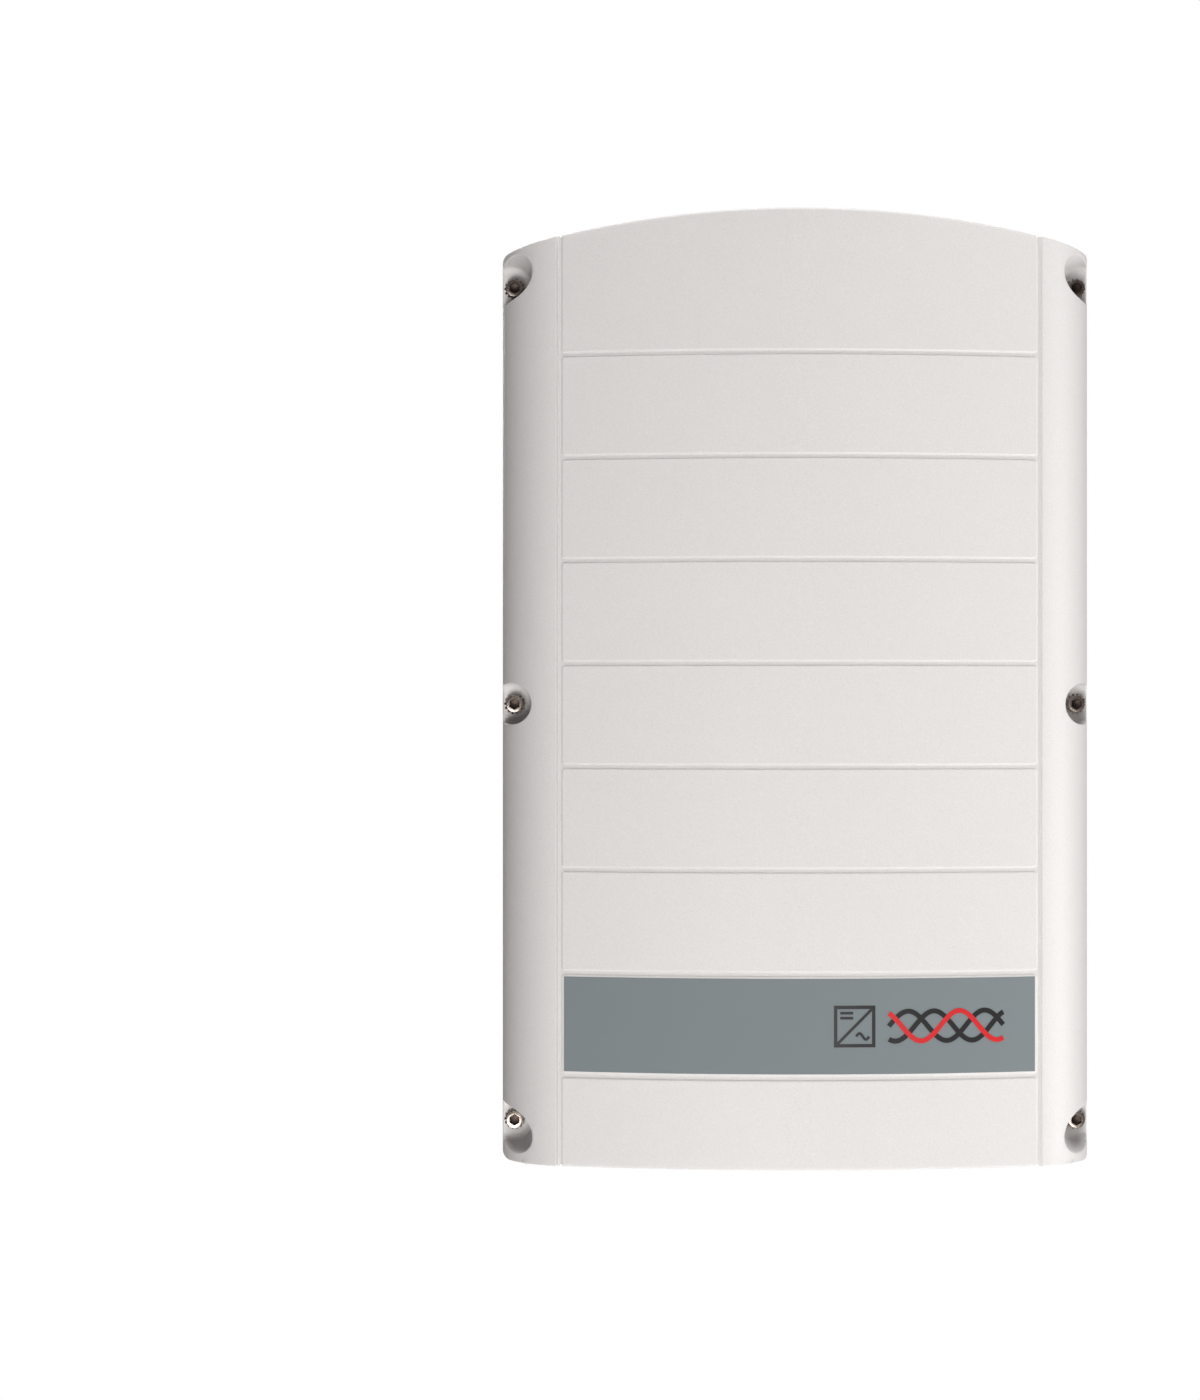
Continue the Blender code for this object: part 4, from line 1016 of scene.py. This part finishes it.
def make_knob_marks():
    """A pointer on the knob's grip, and two marks on the housing: a dot for off and a bar for on."""
    low, high, centre = box_of("dc_switch_knob")
    pointer = boxes("knob_pointer", [((centre.x - 0.0009, low.y + 0.0006, low.z - 0.0002),
                                      (centre.x + 0.0009, low.y + 0.008, low.z + 0.0006))], ORANGE)
    place(pointer, "dc_switch_knob")
    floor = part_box("ground_stud")[0].z + 0.0163
    spots = (((centre.x - 0.0008, centre.x + 0.0008), (low.y - 0.005, low.y - 0.0034)),
             ((high.x + 0.0016, high.x + 0.0046), (centre.y - 0.0005, centre.y + 0.0005)))
    marks = boxes("switch_marks", [((x0, y0, floor - 0.0004), (x1, y1, floor + 0.0002))
                                   for (x0, x1), (y0, y1) in spots], PRINT_DARK, 0.00005)
    place(marks, "enclosure_tub")


def make_fan_rotor():
    """A hub with seven curved blades."""
    low, high, centre = box_of("fan_rotor")
    tip, root = (high.x - low.x) / 2 - 0.0002, 0.009
    hub = [(0.0005, 0.005), (0.008, 0.005), (root, 0.0046), (0.0095, 0.0038), (0.0095, -0.0035),
           (0.0005, -0.0035)]
    place(polar("fan_hub", hub, centre, UP, BLACK_PLASTIC, 64), "fan_rotor", True)
    bm = bmesh.new()
    for index in range(7):
        lines = []
        for i in range(7):
            r = root + (tip - root) * i / 6
            line = []
            for k in range(7):
                across = k / 6 - 0.5
                angle = 2 * pi * index / 7 + across * 0.0098 / r + 0.1 * i / 6
                line.append(bm.verts.new((centre.x + r * cos(angle), centre.y + r * sin(angle),
                                          centre.z + 0.0058 * across + 0.0012 * (0.25 - across * across))))
            lines.append(line)
        skin(bm, lines)
    blades = thicken(add("fan_blades", bm, BLACK_PLASTIC, 60), 0.0009, 0)
    place(blades, "fan_rotor")


def make_details():
    for node in COILS:
        make_toroid(node)
    for index in (1, 2, 3):
        make_link_capacitor(f"link_capacitor_{index}")
    populate_boards()
    make_terminals("dc_terminal_block", 4)
    make_terminals("ac_terminal_block", 5)
    for index in (1, 2, 3, 4):
        make_dc_socket(index)
    for node in ("ac_gland", "data_gland"):
        make_gland(node)
    make_small_entries()
    make_knob_marks()
    make_fan_rotor()


# ---- carried-over CAD nodes

def finish_cad_nodes():
    slots = {entry["node"]: entry["material_slot"] for entry in frame["record"]["subparts"]}
    chamfers = {"heat_sink": 0.0003, "enclosure_tub": 0.0005, "wall_bracket": 0.0004, "hanging_rail": 0.0004}
    for name, obj in frame["nodes"].items():
        obj.data.materials.clear()
        obj.data.materials.append(MATERIALS[slots[name]])
        shade(obj.data, 32)
        if name in chamfers:
            bevel(obj, chamfers[name], 2, 35)


# ---- run

def make_cover():
    for side, out in SIDES:
        place(make_cover_side(f"cover_side_{side}", out), "front_cover")
    place(make_cover_panel(), "front_cover", True)
    place(make_cover_rim(), "front_cover")


def make_stage():
    bm = bmesh.new()
    bmesh.ops.create_circle(bm, cap_ends=True, segments=96, radius=2.6)
    floor = add("studio_floor", bm, FLOOR)
    floor.location = (0, -0.1, BOTTOM_Z - 1.6)


def area_light(name, location, target, size, power, colour=(1, 1, 1)):
    data = bpy.data.lights.new(name, "AREA")
    data.shape = "RECTANGLE"
    data.size, data.size_y = size
    data.energy = power
    data.color = colour
    obj = bpy.data.objects.new(name, data)
    SCENE.objects.link(obj)
    obj.location = location
    obj.rotation_euler = (Vector(target) - Vector(location)).to_track_quat("-Z", "Y").to_euler()


def make_lights():
    """Four lamps, and a white background that lights the object only weakly."""
    middle = (0, CROWN_Y, (CREST_Z + BOTTOM_Z) / 2)
    area_light("key", (2.5, -0.45, -0.6), middle, (0.9, 1.4), 41, (1.0, 0.99, 0.985))
    area_light("front", (-0.5, -3.2, -1.35), middle, (1.3, 1.3), 76, (1.0, 0.99, 0.975))
    area_light("back_fill", (-0.1, 2.8, 0.9), middle, (1.6, 1.6), 95)
    area_light("overhead", (0.2, -0.5, 2.9), (0.0, -0.2, BOTTOM_Z), (1.6, 1.6), 88)
    world = bpy.data.worlds.new("studio")
    bpy.context.scene.world = world
    world.use_nodes = True
    tree = world.node_tree
    tree.nodes.clear()
    link = tree.links.new
    mix = add_node(tree, "MixShader")
    ambient = add_node(tree, "Background", Color=(0.97, 0.82, 0.92, 1), Strength=0.12)
    seen = add_node(tree, "Background", Color=(1, 1, 1, 1), Strength=1.0)
    link(add_node(tree, "LightPath").outputs["Is Camera Ray"], mix.inputs["Fac"])
    link(ambient.outputs["Background"], mix.inputs[1])
    link(seen.outputs["Background"], mix.inputs[2])
    link(mix.outputs["Shader"], add_node(tree, "OutputWorld").inputs["Surface"])
    bpy.context.scene.view_settings.view_transform = "Standard"


def make_camera():
    data = bpy.data.cameras.new("camera")
    data.lens = 104.4
    data.sensor_width = 36
    data.clip_start, data.clip_end = 0.01, 50
    camera = bpy.data.objects.new("camera", data)
    SCENE.objects.link(camera)
    camera.location = (-0.105, CROWN_Y - 2.119, (CREST_Z + BOTTOM_Z) / 2 - 0.0058)
    camera.rotation_euler = (pi / 2, 0, 0)
    bpy.context.scene.camera = camera


random.seed(7)
make_camera()
make_cover()
make_label()
for screw_name, _, _ in SCREWS:
    make_screw(screw_name)
    make_washer(screw_name)
make_details()
finish_cad_nodes()
make_stage()
make_lights()
